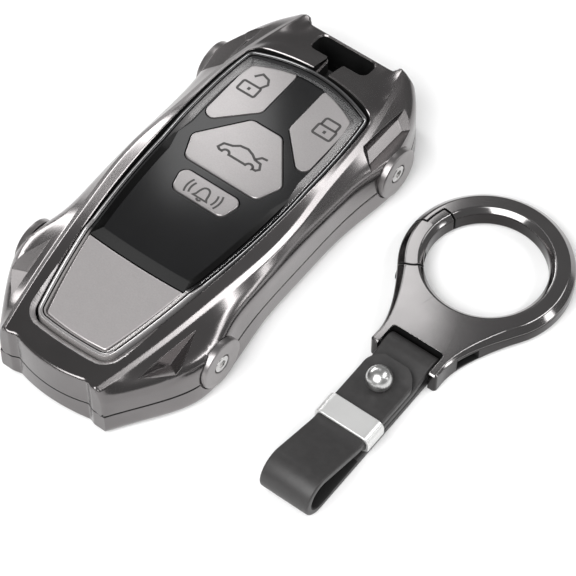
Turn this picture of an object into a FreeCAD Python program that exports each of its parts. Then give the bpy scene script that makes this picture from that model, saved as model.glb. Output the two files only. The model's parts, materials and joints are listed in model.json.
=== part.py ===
"""Key fob cover shaped like a low car, with its leather keychain lying beside it.

Millimetres. X runs across the cover, +Y to its tail and +Z up.
z = 0 is the surface that both pieces lie on.
"""
import FreeCAD, Part
import math
import os
from FreeCAD import Rotation, Vector

SIZES = {
    # overall size of the cover
    "cover_length": 91.0,
    "nose_half": 11.25,
    "tail_half": 12.3,
    "waist_stand": 1.6,
    "wheel_stand": 3.5,
    "parting_height": 6.3,
    "nose_height": 13.3,
    "shoulder_height": 14.9,
    "tail_height": 14.4,
    "roof_height": 17.1,
    "roof_nose_height": 13.7,
    "deck_height": 14.0,
    "frame_width": 3.1,
    "shoulder_bevel": 1.1,
    "nose_post": 2.5,
    "nose_setback": 1.0,
    "nose_bow": 1.7,
    "nose_chamfer": 2.0,
    "tail_post": 2.6,
    "tail_setback": 0.8,
    "low_edge": 1.7,
    "base_trim": 0.3,
    "nose_tuck": 0.8,
    "wheel_tuck": 2.2,
    "side_nose_height": 11.0,
    "rail_run_on": 2.0,
    "end_taper": 0.25,
    "hump_fall": 0.4,
    "hump_tail_fall": 1.0,
    "waist_y": 2.0,
    "shoulder_crown": 0.15,
    "crease_inset": 0.5,
    "rim_inset": 1.3,
    "rim_nose_inset": 3.4,
    "rim_tail_inset": 2.6,
    "post_lean": 0.35,
    "floor_wall": 1.3,
    "shell_gap": 0.05,
    # wheels and their screws
    "front_wheel_inset": 21.0,
    "rear_wheel_inset": 16.2,
    "wheel_height": 7.3,
    "wheel_diameter": 10.3,
    "wheel_cap_thickness": 1.3,
    "wheel_cap_proud": 0.35,
    "wheel_cap_gap": 0.3,
    "screw_diameter": 2.0,
    "screw_length": 4.0,
    "screw_head_diameter": 3.6,
    "screw_head_height": 1.0,
    "screw_socket": 1.6,
    "screw_clearance": 0.15,
    "lug_length": 6.4,
    "lug_thickness": 2.6,
    "lug_height": 3.4,
    "lug_inset": 4.7,
    "lug_clearance": 0.15,
    # window and what fills it
    "window_rear_fall": 1.0,
    "window_half": 15.4,
    "window_waist_fall": 2.1,
    "nose_frame_width": 2.55,
    "window_rear_inset": 14.3,
    "window_nose_inset": 5.6,
    "window_rear_bow": 3.4,
    "window_nose_bow": 0.5,
    "window_corner": 2.6,
    "window_gap": 0.35,
    "trim_width": 1.5,
    "flange_width": 0.5,
    "flange_thickness": 0.6,
    "flange_gap": 0.1,
    "panel_height": 15.2,
    "panel_base": 13.75,
    "panel_gap": 0.1,
    "trim_proud": 0.35,
    "nose_panel_length": 19.3,
    "step_bow": 0.7,
    "step_rise": 0.5,
    "nose_panel_height": 13.6,
    "nose_panel_base": 10.9,
    "mat_thickness": 0.7,
    "mat_gap": 0.05,
    # keys
    "key_gap": 0.2,
    "key_proud": 0.35,
    "key_corner": 1.6,
    "key_margin": 0.6,
    "corner_key_inset": 3.3,
    "corner_key_inner": 3.2,
    "corner_key_overrun": 1.0,
    "trunk_key_inset": 7.0,
    "trunk_key_rear_half": 3.5,
    "trunk_key_point": 2.2,
    "alarm_key_rear_inset": 8.2,
    "alarm_key_front_inset": 9.6,
    # fob space and its sleeve
    "fob_nose_wall": 1.05,
    "fob_overhang": 2.2,
    "fob_rear_fall": 2.6,
    "fob_nose_inset": 6.5,
    "fob_rear_inset": 13.1,
    "fob_rear_bow": 3.4,
    "fob_step_height": 10.2,
    "fob_corner": 3.0,
    "sleeve_wall": 0.9,
    "sleeve_gap": 0.1,
    # lanyard slot
    "slot_half": 6.4,
    "slot_width": 4.4,
    "slot_inset": 1.5,
    "slot_corner": 1.3,
    "slot_neck": 3.0,
    "slot_neck_depth": 3.4,
    # sunk pockets beside the wheels
    "rear_pocket_depth": 1.7,
    "pocket_cut_reach": 2.3,
    # keychain ring
    "chain_x": 46.35,
    "ring_y": 24.2,
    "ring_outer": 16.6,
    "ring_eye": 11.7,
    "ring_height": 5.0,
    "ring_inner_bevel": 1.0,
    "ring_outer_bevel": 1.3,
    "neck_end_y": -2.6,
    "neck_end_half": 7.3,
    "neck_mid_half": 9.0,
    "neck_mid_y": 6.0,
    "neck_join_half": 12.3,
    "neck_join_y": 14.0,
    "neck_window_length": 4.4,
    "neck_window_height": 2.3,
    "neck_window_y": 5.6,
    "neck_window_depth": 2.0,
    "notch_gap": 0.35,
    "notch_side_gap": 0.4,
    # gate
    "gate_pivot_angle": 199.0,
    "gate_tail": 5.0,
    "gate_outer_reach": 5.5,
    "gate_nose_reach": 9.7,
    "gate_step_radius": 14.2,
    "gate_gap": 0.3,
    "gate_pin_diameter": 1.6,
    "gate_pin_length": 4.0,
    "tongue_height": 1.2,
    "tongue_half": 1.6,
    "spring_height": 0.7,
    "spring_outer": 1.5,
    "running_gap": 0.05,
    # strap and its metalwork
    "strap_width": 10.5,
    "strap_thickness": 1.6,
    "strap_layer_gap": 0.2,
    "strap_pin_diameter": 1.6,
    "strap_pin_y": -0.4,
    "strap_pin_gap": 0.15,
    "strap_pin_seat": 1.4,
    "flap_end_y": -15.6,
    "flap_low_y": -6.5,
    "loop_end_y": -38.3,
    "loop_height": 8.6,
    "loop_foot_y": -22.6,
    "tongue_end_y": -4.2,
    "tongue_end_round": 4.4,
    "tongue_lift": 0.95,
    "tongue_bend": 5.0,
    "flap_bend": 6.0,
    "fold_bend": 3.0,
    "fold_run": 0.8,
    "loop_bend": 8.0,
    "slider_front_y": -21.2,
    "slider_length": 4.8,
    "slider_wall": 0.55,
    "slider_gap": 0.2,
    "stud_y": -9.9,
    "stud_post_diameter": 2.4,
    "stud_ball_diameter": 5.0,
    "stud_neck_rise": 0.35,
    "stud_base_diameter": 6.0,
    "stud_base_thickness": 0.8,
    "stud_screw_diameter": 1.4,
    "stud_screw_slot": 0.5,
    "stud_gap": 0.15,
}

doc = FreeCAD.newDocument("key_fob_cover")
sheet = doc.addObject("Spreadsheet::Sheet", "Dimensions")
for row, (alias, number) in enumerate(SIZES.items(), start=1):
    sheet.set(f"A{row}", alias)
    sheet.set(f"B{row}", str(number))
    sheet.setAlias(f"B{row}", alias)
doc.recompute()


def size(alias):
    """A driving dimension, as the sheet holds it."""
    return float(sheet.get(alias))


def rail(points):
    """A smooth rail along Y: returns (x, z) at any y between its first and last point."""
    curve = Part.BSplineCurve()
    vectors = [Vector(x, y, z) for x, y, z in points]
    curve.interpolate(Points=vectors, Parameters=[v.y for v in vectors])
    return lambda y: (curve.value(y).x, curve.value(y).z)


def between(low, high, share):
    return low + (high - low) * share


def mirrored(shape):
    """The shape's twin on the other side of the cover."""
    return shape.mirror(Vector(0, 0, 0), Vector(1, 0, 0))


def both_sides(shape):
    return [shape, mirrored(shape)]


def block(x0, x1, y0, y1, z0, z1):
    return Part.makeBox(x1 - x0, y1 - y0, z1 - z0, Vector(x0, y0, z0))


def rod_x(radius, x0, x1, y, z):
    """A cylinder along X."""
    return Part.makeCylinder(radius, x1 - x0, Vector(x0, y, z), Vector(1, 0, 0))


def rod_z(radius, x, y, z0, z1):
    """A cylinder along Z."""
    return Part.makeCylinder(radius, z1 - z0, Vector(x, y, z0))


def prism(wire, z0, z1):
    face = Part.Face(wire)
    face.translate(Vector(0, 0, z0))
    return face.extrude(Vector(0, 0, z1 - z0))


def polygon(points):
    vectors = [Vector(x, y, 0) for x, y in points]
    return Part.makePolygon(vectors + vectors[:1])


def rounded_polygon(points, radius):
    """A closed plan outline whose corners are all rounded."""
    count = len(points)
    corners = [Vector(x, y, 0) for x, y in points]
    edges = []
    last_end = None
    first_start = None
    for index, corner in enumerate(corners):
        before = (corners[index - 1] - corner).normalize()
        after = (corners[(index + 1) % count] - corner).normalize()
        half_angle = before.getAngle(after) / 2
        reach = radius / math.tan(half_angle)
        start = corner + before * reach
        end = corner + after * reach
        middle = (before + after).normalize()
        bulge = corner + middle * (radius / math.sin(half_angle) - radius)
        if last_end is not None:
            edges.append(Part.LineSegment(last_end, start).toShape())
        else:
            first_start = start
        edges.append(Part.Arc(start, bulge, end).toShape())
        last_end = end
    edges.append(Part.LineSegment(last_end, first_start).toShape())
    return Part.Wire(edges)


def upright_edges(shape):
    """The straight edges of a prism that run along Z."""
    found = []
    for edge in shape.Edges:
        if len(edge.Vertexes) == 2:
            run = edge.Vertexes[1].Point - edge.Vertexes[0].Point
            if abs(run.x) < 1e-6 and abs(run.y) < 1e-6:
                found.append(edge)
    return found


def plan_prism(side, nose_bow, rear_bow, corner, z0, z1):
    """An upright prism, symmetric about x = 0: smooth side rails closed by a bowed nose and tail."""
    right = [Vector(x, y, 0) for x, y in side]
    left = [Vector(-x, y, 0) for x, y in side]
    right_curve = Part.BSplineCurve()
    right_curve.interpolate(right)
    left_curve = Part.BSplineCurve()
    left_curve.interpolate(left)
    nose_y = side[0][1]
    rear_y = side[-1][1]
    nose = Part.Arc(left[0], Vector(0, nose_y - nose_bow, 0), right[0])
    rear = Part.Arc(right[-1], Vector(0, rear_y + rear_bow, 0), left[-1])
    edges = [nose.toShape(), right_curve.toShape(), rear.toShape(), left_curve.toShape()]
    solid = prism(Part.Wire(Part.__sortEdges__(edges)), z0, z1)
    return solid.makeFillet(corner, upright_edges(solid))


# heights that lie well outside the cover, for cutters that pass right through
UNDER = -5.0
OVER = 30.0
ASIDE = 60.0

half_length = size("cover_length") / 2
front_wheel_y = size("front_wheel_inset") - half_length
rear_wheel_y = half_length - size("rear_wheel_inset")
window_nose_y = size("window_nose_inset") - half_length
window_rear_y = half_length - size("window_rear_inset")
step_y = window_nose_y + size("nose_panel_length")
slot_rear_y = half_length - size("slot_inset")
slot_front_y = slot_rear_y - size("slot_width")
fob_nose_y = size("fob_nose_inset") - half_length
fob_rear_y = half_length - size("fob_rear_inset")
shoulder_half = size("window_half") + size("frame_width")
wheel_half = shoulder_half + size("wheel_stand")
waist_half = shoulder_half + size("waist_stand")
window_rear_half = size("window_half") - size("window_rear_fall")
window_waist_half = size("window_half") - size("window_waist_fall")
window_nose_half = size("nose_half") - size("nose_frame_width")
fob_half = size("window_half") + size("fob_overhang")
fob_rear_half = fob_half - size("fob_rear_fall")
fob_nose_half = size("nose_half") - size("fob_nose_wall")
wheel_radius = size("wheel_diameter") / 2
parting = size("parting_height")
nose_end = -half_length - size("rail_run_on")
tail_end = half_length + size("rail_run_on")
beside_wheel = wheel_radius * 1.1
away_from_wheel = wheel_radius * 2.6
# inward lean of each flank's upper edge at the stations of its plan, from nose to tail
FLANK_LEANS = [0.2, 0.3, 0.5, 0.2, 1.3, 0.6, 0.1, 0.5, 0.9, 0.2, 0.5, 0.4, 0.2]
# corners of the sunk pockets, measured from the centre of the wheel beside them
FRONT_POCKET_DEEP = Vector(-5.7, -7.2, 2.7)
FRONT_POCKET_RIM = [Vector(-7.6, -15.1, 5.6), Vector(-2.4, -9.4, 4.7), Vector(-5.2, -0.6, 6.3)]
REAR_POCKET_TOP = Vector(-5.4, 0.0, 7.2)
# the same pocket's mouth and floor on the slanted flank, as (along, down) from its top
REAR_POCKET_MOUTH = [(9.8, 0.0), (6.6, 4.6), (-4.8, 3.8), (-3.8, 0.0)]
REAR_POCKET_FLOOR = [(5.4, 1.0), (4.8, 3.3), (-2.6, 2.8), (-2.2, 1.2)]


def window_side(grow):
    """The window's side rail from its nose corner to its tail corner, moved outwards by grow."""
    nose_y = window_nose_y
    rear_y = window_rear_y
    return [
        (window_nose_half + grow, nose_y - grow),
        (window_waist_half + grow, between(nose_y, rear_y, 0.31)),
        (between(window_waist_half, size("window_half"), 0.72) + grow, between(nose_y, rear_y, 0.5)),
        (size("window_half") + grow, between(nose_y, rear_y, 0.74)),
        (between(size("window_half"), window_rear_half, 0.2) + grow, between(nose_y, rear_y, 0.89)),
        (window_rear_half + grow, rear_y + grow),
    ]


def window_prism(grow, z0, z1):
    corner = size("window_corner") + grow
    return plan_prism(window_side(grow), size("window_nose_bow"), size("window_rear_bow"), corner, z0, z1)


def fob_prism(grow, z0, z1):
    """The fob's own outline, moved outwards by grow."""
    nose_y = fob_nose_y
    rear_y = fob_rear_y
    side = [
        (fob_nose_half + grow, nose_y - grow),
        (between(fob_nose_half, fob_half, 0.62) + grow, between(nose_y, rear_y, 0.2)),
        (between(fob_nose_half, fob_half, 0.95) + grow, between(nose_y, rear_y, 0.42)),
        (fob_half + grow, between(nose_y, rear_y, 0.65)),
        (between(fob_half, fob_rear_half, 0.3) + grow, between(nose_y, rear_y, 0.9)),
        (fob_rear_half + grow, rear_y + grow),
    ]
    return plan_prism(side, size("nose_setback"), size("fob_rear_bow"), size("fob_corner") + grow, z0, z1)


def body_rails():
    """The rails that the outer skin is drawn through, each as (x, z) over y."""
    nose_half = size("nose_half")
    tail_half = size("tail_half")
    taper = size("end_taper")
    fall = size("hump_fall")
    flank_start = front_wheel_y - beside_wheel
    plan = [
        (nose_half - taper, nose_end),
        (between(nose_half, wheel_half, 0.58), between(-half_length, flank_start, 0.5)),
        (wheel_half - fall, flank_start),
        (wheel_half, front_wheel_y),
        (wheel_half - fall, front_wheel_y + beside_wheel),
        (waist_half + fall, front_wheel_y + away_from_wheel),
        (waist_half, size("waist_y")),
        (waist_half + fall, rear_wheel_y - away_from_wheel),
        (wheel_half - fall, rear_wheel_y - beside_wheel),
        (wheel_half, rear_wheel_y),
        (wheel_half - size("hump_tail_fall"), rear_wheel_y + beside_wheel),
        (between(tail_half, wheel_half, 0.6), between(rear_wheel_y, half_length, 0.73)),
        (tail_half - taper, tail_end),
    ]
    width_shares = [(x - nose_half) / (wheel_half - nose_half) for x, y in plan]
    tucks = [between(size("nose_tuck"), size("wheel_tuck"), share) for share in width_shares]
    low = size("low_edge")
    below = size("base_trim")
    run_down = (low + below) / low
    bottom = rail([(x - inset * run_down, y, -below) for (x, y), inset in zip(plan, tucks)])
    lower = rail([(x, y, low) for x, y in plan])
    side_top = size("wheel_height") + wheel_radius
    upper_points = []
    for (x, y), share, lean in zip(plan, width_shares, FLANK_LEANS):
        height = between(size("side_nose_height"), side_top, share) if y < flank_start else side_top
        upper_points.append((x - lean, y, height))
    upper = rail(upper_points)
    nose_z = size("nose_height")
    top_z = size("shoulder_height")
    tail_z = size("tail_height")
    inset = size("crease_inset")
    crease_points = [
        (nose_half - inset, nose_end, nose_z),
        (between(nose_half, shoulder_half, 0.45), -half_length * 0.67, between(nose_z, top_z, 0.3)),
        (between(nose_half, shoulder_half, 0.79), -half_length * 0.33, between(nose_z, top_z, 0.7)),
        (shoulder_half, half_length * 0.02, top_z),
        (between(tail_half, shoulder_half, 0.84), half_length * 0.3, top_z + size("shoulder_crown")),
        (between(tail_half, shoulder_half, 0.73), half_length * 0.53, top_z + size("shoulder_crown")),
        (between(tail_half, shoulder_half, 0.45), half_length * 0.77, between(tail_z, top_z, 0.6)),
        (tail_half - inset, tail_end, tail_z),
    ]
    bevel = size("shoulder_bevel")
    crease = rail(crease_points)
    ridge = rail([(x - bevel * 0.8, y, z + bevel * 0.5) for x, y, z in crease_points])
    roof = size("roof_height")
    roof_nose = size("roof_nose_height")
    deck = size("deck_height")
    rim_inset = size("rim_inset")
    tail_rim = tail_half - size("rim_tail_inset")
    window_rear = window_rear_y + size("window_rear_bow")
    rim = rail([
        (nose_half - size("rim_nose_inset"), nose_end, roof_nose),
        (window_nose_half - rim_inset, window_nose_y, roof_nose),
        (window_waist_half - rim_inset, -half_length * 0.4, between(roof_nose, roof, 0.62)),
        (window_waist_half - rim_inset / 3, -half_length * 0.12, between(roof_nose, roof, 0.86)),
        (size("window_half") - rim_inset, half_length * 0.25, roof),
        (size("window_half") - rim_inset, half_length * 0.55, roof),
        (window_rear_half - rim_inset * 2, window_rear - rim_inset, between(deck, roof, 0.85)),
        (tail_rim, slot_front_y, between(deck, roof, 0.2)),
        (tail_rim, slot_rear_y, deck),
        (tail_rim, tail_end, deck),
    ])
    return [bottom, lower, upper, crease, ridge, rim]


def body_blank():
    """The whole outer form of the cover before anything is cut into it."""
    rails = body_rails()
    stations = [nose_end, -half_length, -half_length * 0.9, -half_length * 0.8, front_wheel_y - beside_wheel,
                front_wheel_y, front_wheel_y + beside_wheel, -half_length * 0.24, half_length * 0.03,
                half_length * 0.3, rear_wheel_y - beside_wheel, rear_wheel_y, rear_wheel_y + beside_wheel,
                half_length * 0.88, half_length, tail_end]
    sections = []
    for y in stations:
        right = [Vector(at(y)[0], y, at(y)[1]) for at in rails]
        left = [Vector(-p.x, y, p.z) for p in reversed(right)]
        ring = right + left
        sections.append(Part.makePolygon(ring + ring[:1]))
    skin = Part.makeLoft(sections, True, False)
    return skin.common(plan_trim()).cut(nose_chamfer())


def nose_chamfer():
    """The slanted lower edge of the nose."""
    front = -half_length + size("nose_setback") - size("nose_bow")
    return side_profile([(-ASIDE, UNDER), (front + size("nose_chamfer") * 1.4, UNDER),
                         (front + size("nose_chamfer") * 1.4, 0), (front, size("nose_chamfer")),
                         (-ASIDE, size("nose_chamfer"))])


def plan_trim():
    """The nose and tail edges in plan: corner posts, and the edges set back between them."""
    nose_half = size("nose_half")
    post_x = nose_half - size("nose_post")
    nose_y = -half_length
    set_y = nose_y + size("nose_setback")
    tail_x = size("tail_half") - size("tail_post")
    tail_y = half_length
    tail_set = tail_y - size("tail_setback")
    lean = size("post_lean")
    right = [(post_x - lean, set_y), (post_x, nose_y), (ASIDE, nose_y), (ASIDE, tail_y),
             (tail_x + lean, tail_y), (tail_x, tail_set)]
    points = right + [(-x, y) for x, y in reversed(right)]
    vectors = [Vector(x, y, 0) for x, y in points]
    edges = [Part.LineSegment(a, b).toShape() for a, b in zip(vectors, vectors[1:])]
    front = Vector(0, set_y - size("nose_bow"), 0)
    edges.append(Part.Arc(vectors[-1], front, vectors[0]).toShape())
    return prism(Part.Wire(edges), UNDER, OVER)


def front_pocket():
    """Three-sided sunk pocket between the shoulder and the front wheel, as a pyramid on its deep point."""
    wheel = Vector(wheel_half, front_wheel_y, size("wheel_height"))
    deep = wheel + FRONT_POCKET_DEEP
    outer = [deep + (wheel + corner - deep) * size("pocket_cut_reach") for corner in FRONT_POCKET_RIM]
    faces = [Part.Face(Part.makePolygon(outer + outer[:1]))]
    for index in range(3):
        a = outer[index]
        b = outer[(index + 1) % 3]
        faces.append(Part.Face(Part.makePolygon([a, b, deep, a])))
    return Part.Solid(Part.Shell(faces))


def rear_pocket():
    """Four-sided sunk pocket between the shoulder and the rear wheel, with a smaller floor."""
    wheel = Vector(wheel_half, rear_wheel_y, size("wheel_height"))
    top = wheel + REAR_POCKET_TOP
    down = Vector(0.8, 0.0, -0.6)
    out = Vector(0.6, 0.0, 0.8)
    along = Vector(0, 1, 0)
    low = [top + along * y + down * u - out * size("rear_pocket_depth") for y, u in REAR_POCKET_FLOOR]
    rim = [top + along * y + down * u for y, u in REAR_POCKET_MOUTH]
    high = [a + (b - a) * size("pocket_cut_reach") for a, b in zip(low, rim)]
    wires = [Part.makePolygon(points + points[:1]) for points in (low, high)]
    return Part.makeLoft(wires, True, True)


def lanyard_slot():
    """T-shaped slot: a wide opening through both shells and a shallow neck that runs on into the window."""
    half = size("slot_half")
    y0 = slot_front_y
    y1 = slot_rear_y
    outline = rounded_polygon([(-half, y0), (half, y0), (half, y1), (-half, y1)], size("slot_corner"))
    wide = prism(outline, UNDER, OVER)
    neck_half = size("slot_neck") / 2
    neck_floor = size("deck_height") - size("slot_neck_depth")
    neck = block(-neck_half, neck_half, window_rear_y, y0 + size("slot_corner"), neck_floor, OVER)
    return [wide, neck]


def lug_box(y, grow):
    """Screw lug of the lower shell, moved outwards by grow."""
    outer = wheel_half - size("lug_inset") + size("lug_thickness")
    half = size("lug_length") / 2
    top = parting + size("lug_height")
    return block(outer - size("lug_thickness") - grow, outer + grow, y - half - grow, y + half + grow,
                 parting - size("low_edge"), top + grow)


WHEELS = [front_wheel_y, rear_wheel_y]


def wheel_seats():
    """Counterbores for the wheel caps, with the screws' clearance holes, on both sides."""
    seats = []
    cap_back = wheel_half + size("wheel_cap_proud") - size("wheel_cap_thickness")
    seat_radius = wheel_radius + size("wheel_cap_gap")
    hole_radius = size("screw_diameter") / 2 + size("screw_clearance")
    lug_face = wheel_half - size("lug_inset") + size("lug_thickness")
    for y in WHEELS:
        z = size("wheel_height")
        seats += both_sides(rod_x(seat_radius, cap_back, ASIDE, y, z))
        seats += both_sides(rod_x(hole_radius, lug_face, ASIDE, y, z))
    return seats


flange_top = size("panel_base") + size("flange_thickness")
nose_flange_top = size("nose_panel_base") + size("flange_thickness")


def fob_space_cut():
    """The hollow of the two shells: the wide fob space and the narrower space up to the flange seats."""
    wide = fob_prism(size("sleeve_wall") + size("sleeve_gap"), size("floor_wall"), size("fob_step_height"))
    seat = size("flange_width") + size("flange_gap")
    lower = size("fob_step_height") - size("sleeve_wall")
    rear = window_prism(seat, lower, flange_top + size("flange_gap"))
    rear = rear.cut(block(-ASIDE, ASIDE, -ASIDE, step_y, UNDER, OVER))
    nose = window_prism(seat, lower, nose_flange_top + size("flange_gap"))
    nose = nose.cut(block(-ASIDE, ASIDE, step_y + size("trim_width"), ASIDE, UNDER, OVER))
    return [wide, rear, nose, window_prism(0.0, lower, OVER)]


def make_upper_shell(blank):
    shell = blank.common(block(-ASIDE, ASIDE, -ASIDE, ASIDE, parting + size("shell_gap"), OVER))
    cutters = fob_space_cut() + lanyard_slot() + wheel_seats()
    cutters += both_sides(front_pocket()) + both_sides(rear_pocket())
    for y in WHEELS:
        cutters += both_sides(lug_box(y, size("lug_clearance")))
    return shell.cut(cutters)


def make_lower_shell(blank):
    shell = blank.common(block(-ASIDE, ASIDE, -ASIDE, ASIDE, 0, parting))
    shell = shell.cut([fob_space_cut()[0], lanyard_slot()[0]])
    lugs = []
    for y in WHEELS:
        lugs += both_sides(lug_box(y, 0.0))
    shell = shell.fuse(lugs).removeSplitter()
    holes = wheel_seats() + [fob_space_cut()[0]]
    bore = size("screw_diameter") / 2 + size("running_gap") / 2
    for y in WHEELS:
        holes += both_sides(rod_x(bore, waist_half / 2, ASIDE, y, size("wheel_height")))
    return shell.cut(holes)


def make_key_sleeve():
    """Soft tub: a floor and a wall under the step, then a narrower collar that carries the window trim."""
    wall = size("sleeve_wall")
    base = size("floor_wall")
    shelf = size("fob_step_height") - size("sleeve_gap")
    tub = fob_prism(wall, base, shelf)
    tub = tub.cut(fob_prism(0.0, base + wall, shelf - wall))
    collar_out = size("flange_width")
    collar = window_prism(collar_out, shelf - wall, size("panel_base") - size("flange_gap"))
    collar = collar.cut(block(-ASIDE, ASIDE, -ASIDE, step_y + size("trim_width") + wall, shelf, OVER))
    nose = window_prism(collar_out, shelf - wall, size("nose_panel_base") - size("flange_gap"))
    nose = nose.cut(block(-ASIDE, ASIDE, step_y, ASIDE, UNDER, OVER))
    sleeve = tub.fuse([collar, nose])
    return sleeve.cut(window_prism(collar_out - wall, shelf - wall - base, OVER)).removeSplitter()


def side_profile(points):
    """A prism across the whole cover whose side view is the closed outline of (y, z) points."""
    vectors = [Vector(-ASIDE, y, z) for y, z in points]
    face = Part.Face(Part.makePolygon(vectors + vectors[:1]))
    return face.extrude(Vector(2 * ASIDE, 0, 0))


def slope_height(y):
    """Height of the silver nose panel's top at y."""
    low_y = window_nose_y
    share = (y - low_y) / (step_y - low_y)
    return between(size("nose_panel_height"), size("panel_height") + size("step_rise"), share)


def make_window_trim():
    """Clear border inside the window frame, with a flange that sits under the frame."""
    outer = -size("window_gap")
    inner = outer - size("trim_width")
    proud = size("trim_proud")
    base = size("panel_base")
    nose_base = size("nose_panel_base")
    split = step_y + size("trim_width") / 2
    nose_y = window_nose_y - size("rail_run_on")
    top = size("panel_height") + proud
    underside = [(nose_y, nose_base), (split, nose_base), (split, base), (ASIDE, base)]
    step_top = slope_height(step_y) + proud
    nose_top = slope_height(nose_y) + proud
    profile = side_profile(underside + [(ASIDE, top), (step_y, step_top), (nose_y, nose_top)])
    ring = window_prism(outer, UNDER, OVER).common(profile)
    rear_flange = window_prism(size("flange_width"), base, flange_top)
    rear_flange = rear_flange.cut(block(-ASIDE, ASIDE, -ASIDE, split, UNDER, OVER))
    nose_flange = window_prism(size("flange_width"), nose_base, nose_flange_top)
    nose_flange = nose_flange.cut(block(-ASIDE, ASIDE, step_y - size("flange_gap"), ASIDE, UNDER, OVER))
    trim = ring.fuse([rear_flange, nose_flange])
    return trim.cut(window_prism(inner, UNDER, OVER)).removeSplitter()


def step_edge(offset):
    """Everything in front of the bowed edge between the nose panel and the key panel."""
    half = size("window_half")
    y = step_y + offset
    left = Vector(-half, y, 0)
    right = Vector(half, y, 0)
    arc = Part.Arc(right, Vector(0, y - size("step_bow"), 0), left).toShape()
    corners = [left, Vector(-half, -ASIDE, 0), Vector(half, -ASIDE, 0), right]
    lines = [Part.LineSegment(a, b).toShape() for a, b in zip(corners, corners[1:])]
    return prism(Part.Wire(lines + [arc]), UNDER, OVER)


def panel_grow():
    return -size("window_gap") - size("trim_width") - size("panel_gap")


def make_front_panel():
    """Satin panel over the nose, sloping down to the front."""
    nose_y = window_nose_y
    base = size("nose_panel_base")
    profile = side_profile([(nose_y, base), (0, base), (0, slope_height(step_y)),
                            (step_y, slope_height(step_y)), (nose_y, slope_height(nose_y))])
    return window_prism(panel_grow(), UNDER, OVER).common([profile]).common([step_edge(0.0)])


# lines of the keys, as shares of the key panel's length from the tail end of the window
KEY_LINES = {
    "corner_key_notch": 0.208,
    "corner_key_front": 0.382,
    "trunk_key_rear": 0.255,
    "trunk_key_mid": 0.436,
    "trunk_key_front": 0.535,
    "alarm_key_rear": 0.571,
    "alarm_key_front": 0.672,
}


def key_line(name):
    """Where a line of the keys crosses the panel, as a y."""
    return between(window_rear_y, step_y, KEY_LINES[name])


def corner_key_outline():
    """Right corner key; its twin is mirrored."""
    outer = size("window_half") - size("corner_key_inset")
    inner = size("corner_key_inner")
    rear = window_rear_y + size("corner_key_overrun")
    notch = key_line("corner_key_notch")
    front = key_line("corner_key_front")
    return [(inner, rear), (inner, notch), (outer, front), (outer, rear - size("window_corner")),
            (between(inner, outer, 0.62), rear)]


def trunk_key_outline():
    half = size("window_half") - size("trunk_key_inset")
    side = half + size("trunk_key_point")
    rear_half = size("trunk_key_rear_half")
    mid = key_line("trunk_key_mid")
    rear = key_line("trunk_key_rear")
    front = key_line("trunk_key_front")
    return [(-half, front), (half, front), (side, mid), (rear_half, rear), (-rear_half, rear), (-side, mid)]


def alarm_key_outline():
    front = key_line("alarm_key_front")
    rear = key_line("alarm_key_rear")
    front_half = size("window_half") - size("alarm_key_front_inset")
    rear_half = size("window_half") - size("alarm_key_rear_inset")
    return [(-front_half, front), (front_half, front), (rear_half, rear), (-rear_half, rear)]


def key_prism(outline, grow, z0, z1):
    """A key's prism, kept clear of the panel's edge."""
    wire = rounded_polygon(outline, size("key_corner"))
    if grow:
        wire = wire.makeOffset2D(grow)
    return prism(wire, z0, z1).common(window_prism(panel_grow() - size("key_margin") + grow, z0, z1))


def key_solids(grow, z0, z1):
    """The four keys by node name, moved outwards by grow."""
    lock = key_prism(corner_key_outline(), grow, z0, z1)
    return {
        "unlock_button": mirrored(lock),
        "lock_button": lock,
        "trunk_button": key_prism(trunk_key_outline(), grow, z0, z1),
        "alarm_button": key_prism(alarm_key_outline(), grow, z0, z1),
    }


def make_button_panel():
    """Dark panel with a hole for each key."""
    plate = window_prism(panel_grow(), size("panel_base"), size("panel_height"))
    plate = plate.cut(step_edge(size("panel_gap")))
    return plate.cut(list(key_solids(size("key_gap"), UNDER, OVER).values()))


def make_keypad_mat():
    """Soft mat under the key panel."""
    top = size("panel_base") - size("mat_gap")
    inset = size("flange_width") - size("sleeve_wall") - size("sleeve_gap")
    mat = window_prism(inset, top - size("mat_thickness"), top)
    front = step_y + size("trim_width") + size("sleeve_wall")
    return mat.cut(block(-ASIDE, ASIDE, -ASIDE, front, UNDER, OVER))


def ring_profile():
    """The ring's section, with its inner and outer edges bevelled."""
    eye = size("ring_eye")
    outer = size("ring_outer")
    top = size("ring_height")
    inner_bevel = size("ring_inner_bevel")
    outer_bevel = size("ring_outer_bevel")
    low = [(eye, inner_bevel), (eye + inner_bevel, 0), (outer - outer_bevel, 0), (outer, outer_bevel)]
    points = low + [(r, top - z) for r, z in reversed(low)]
    vectors = [Vector(r, 0, z) for r, z in points]
    face = Part.Face(Part.makePolygon(vectors + vectors[:1]))
    ring = face.revolve(Vector(0, 0, 0), Vector(0, 0, 1), 360)
    ring.translate(Vector(size("chain_x"), size("ring_y"), 0))
    return ring


def ring_neck():
    """The neck that narrows from the ring to the two cheeks."""
    x = size("chain_x")
    end = Vector(size("neck_end_half"), size("neck_end_y"), 0)
    waist = Vector(size("neck_end_half"), size("strap_pin_y"), 0)
    middle = Vector(size("neck_mid_half"), size("neck_mid_y"), 0)
    join = Vector(size("neck_join_half"), size("neck_join_y"), 0)

    def flip(v):
        return Vector(-v.x, v.y, 0)
    edges = [Part.LineSegment(flip(end), end), Part.LineSegment(end, waist), Part.Arc(waist, middle, join),
             Part.LineSegment(join, flip(join)), Part.Arc(flip(join), flip(middle), flip(waist)),
             Part.LineSegment(flip(waist), flip(end))]
    neck = prism(Part.Wire([edge.toShape() for edge in edges]), 0, size("ring_height"))
    neck.translate(Vector(x, 0, 0))
    centre = Vector(x, size("ring_y"), 0)
    eye = Part.makeCylinder(size("ring_eye") + size("ring_inner_bevel"), size("ring_height"), centre)
    return neck.cut(eye)


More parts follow.
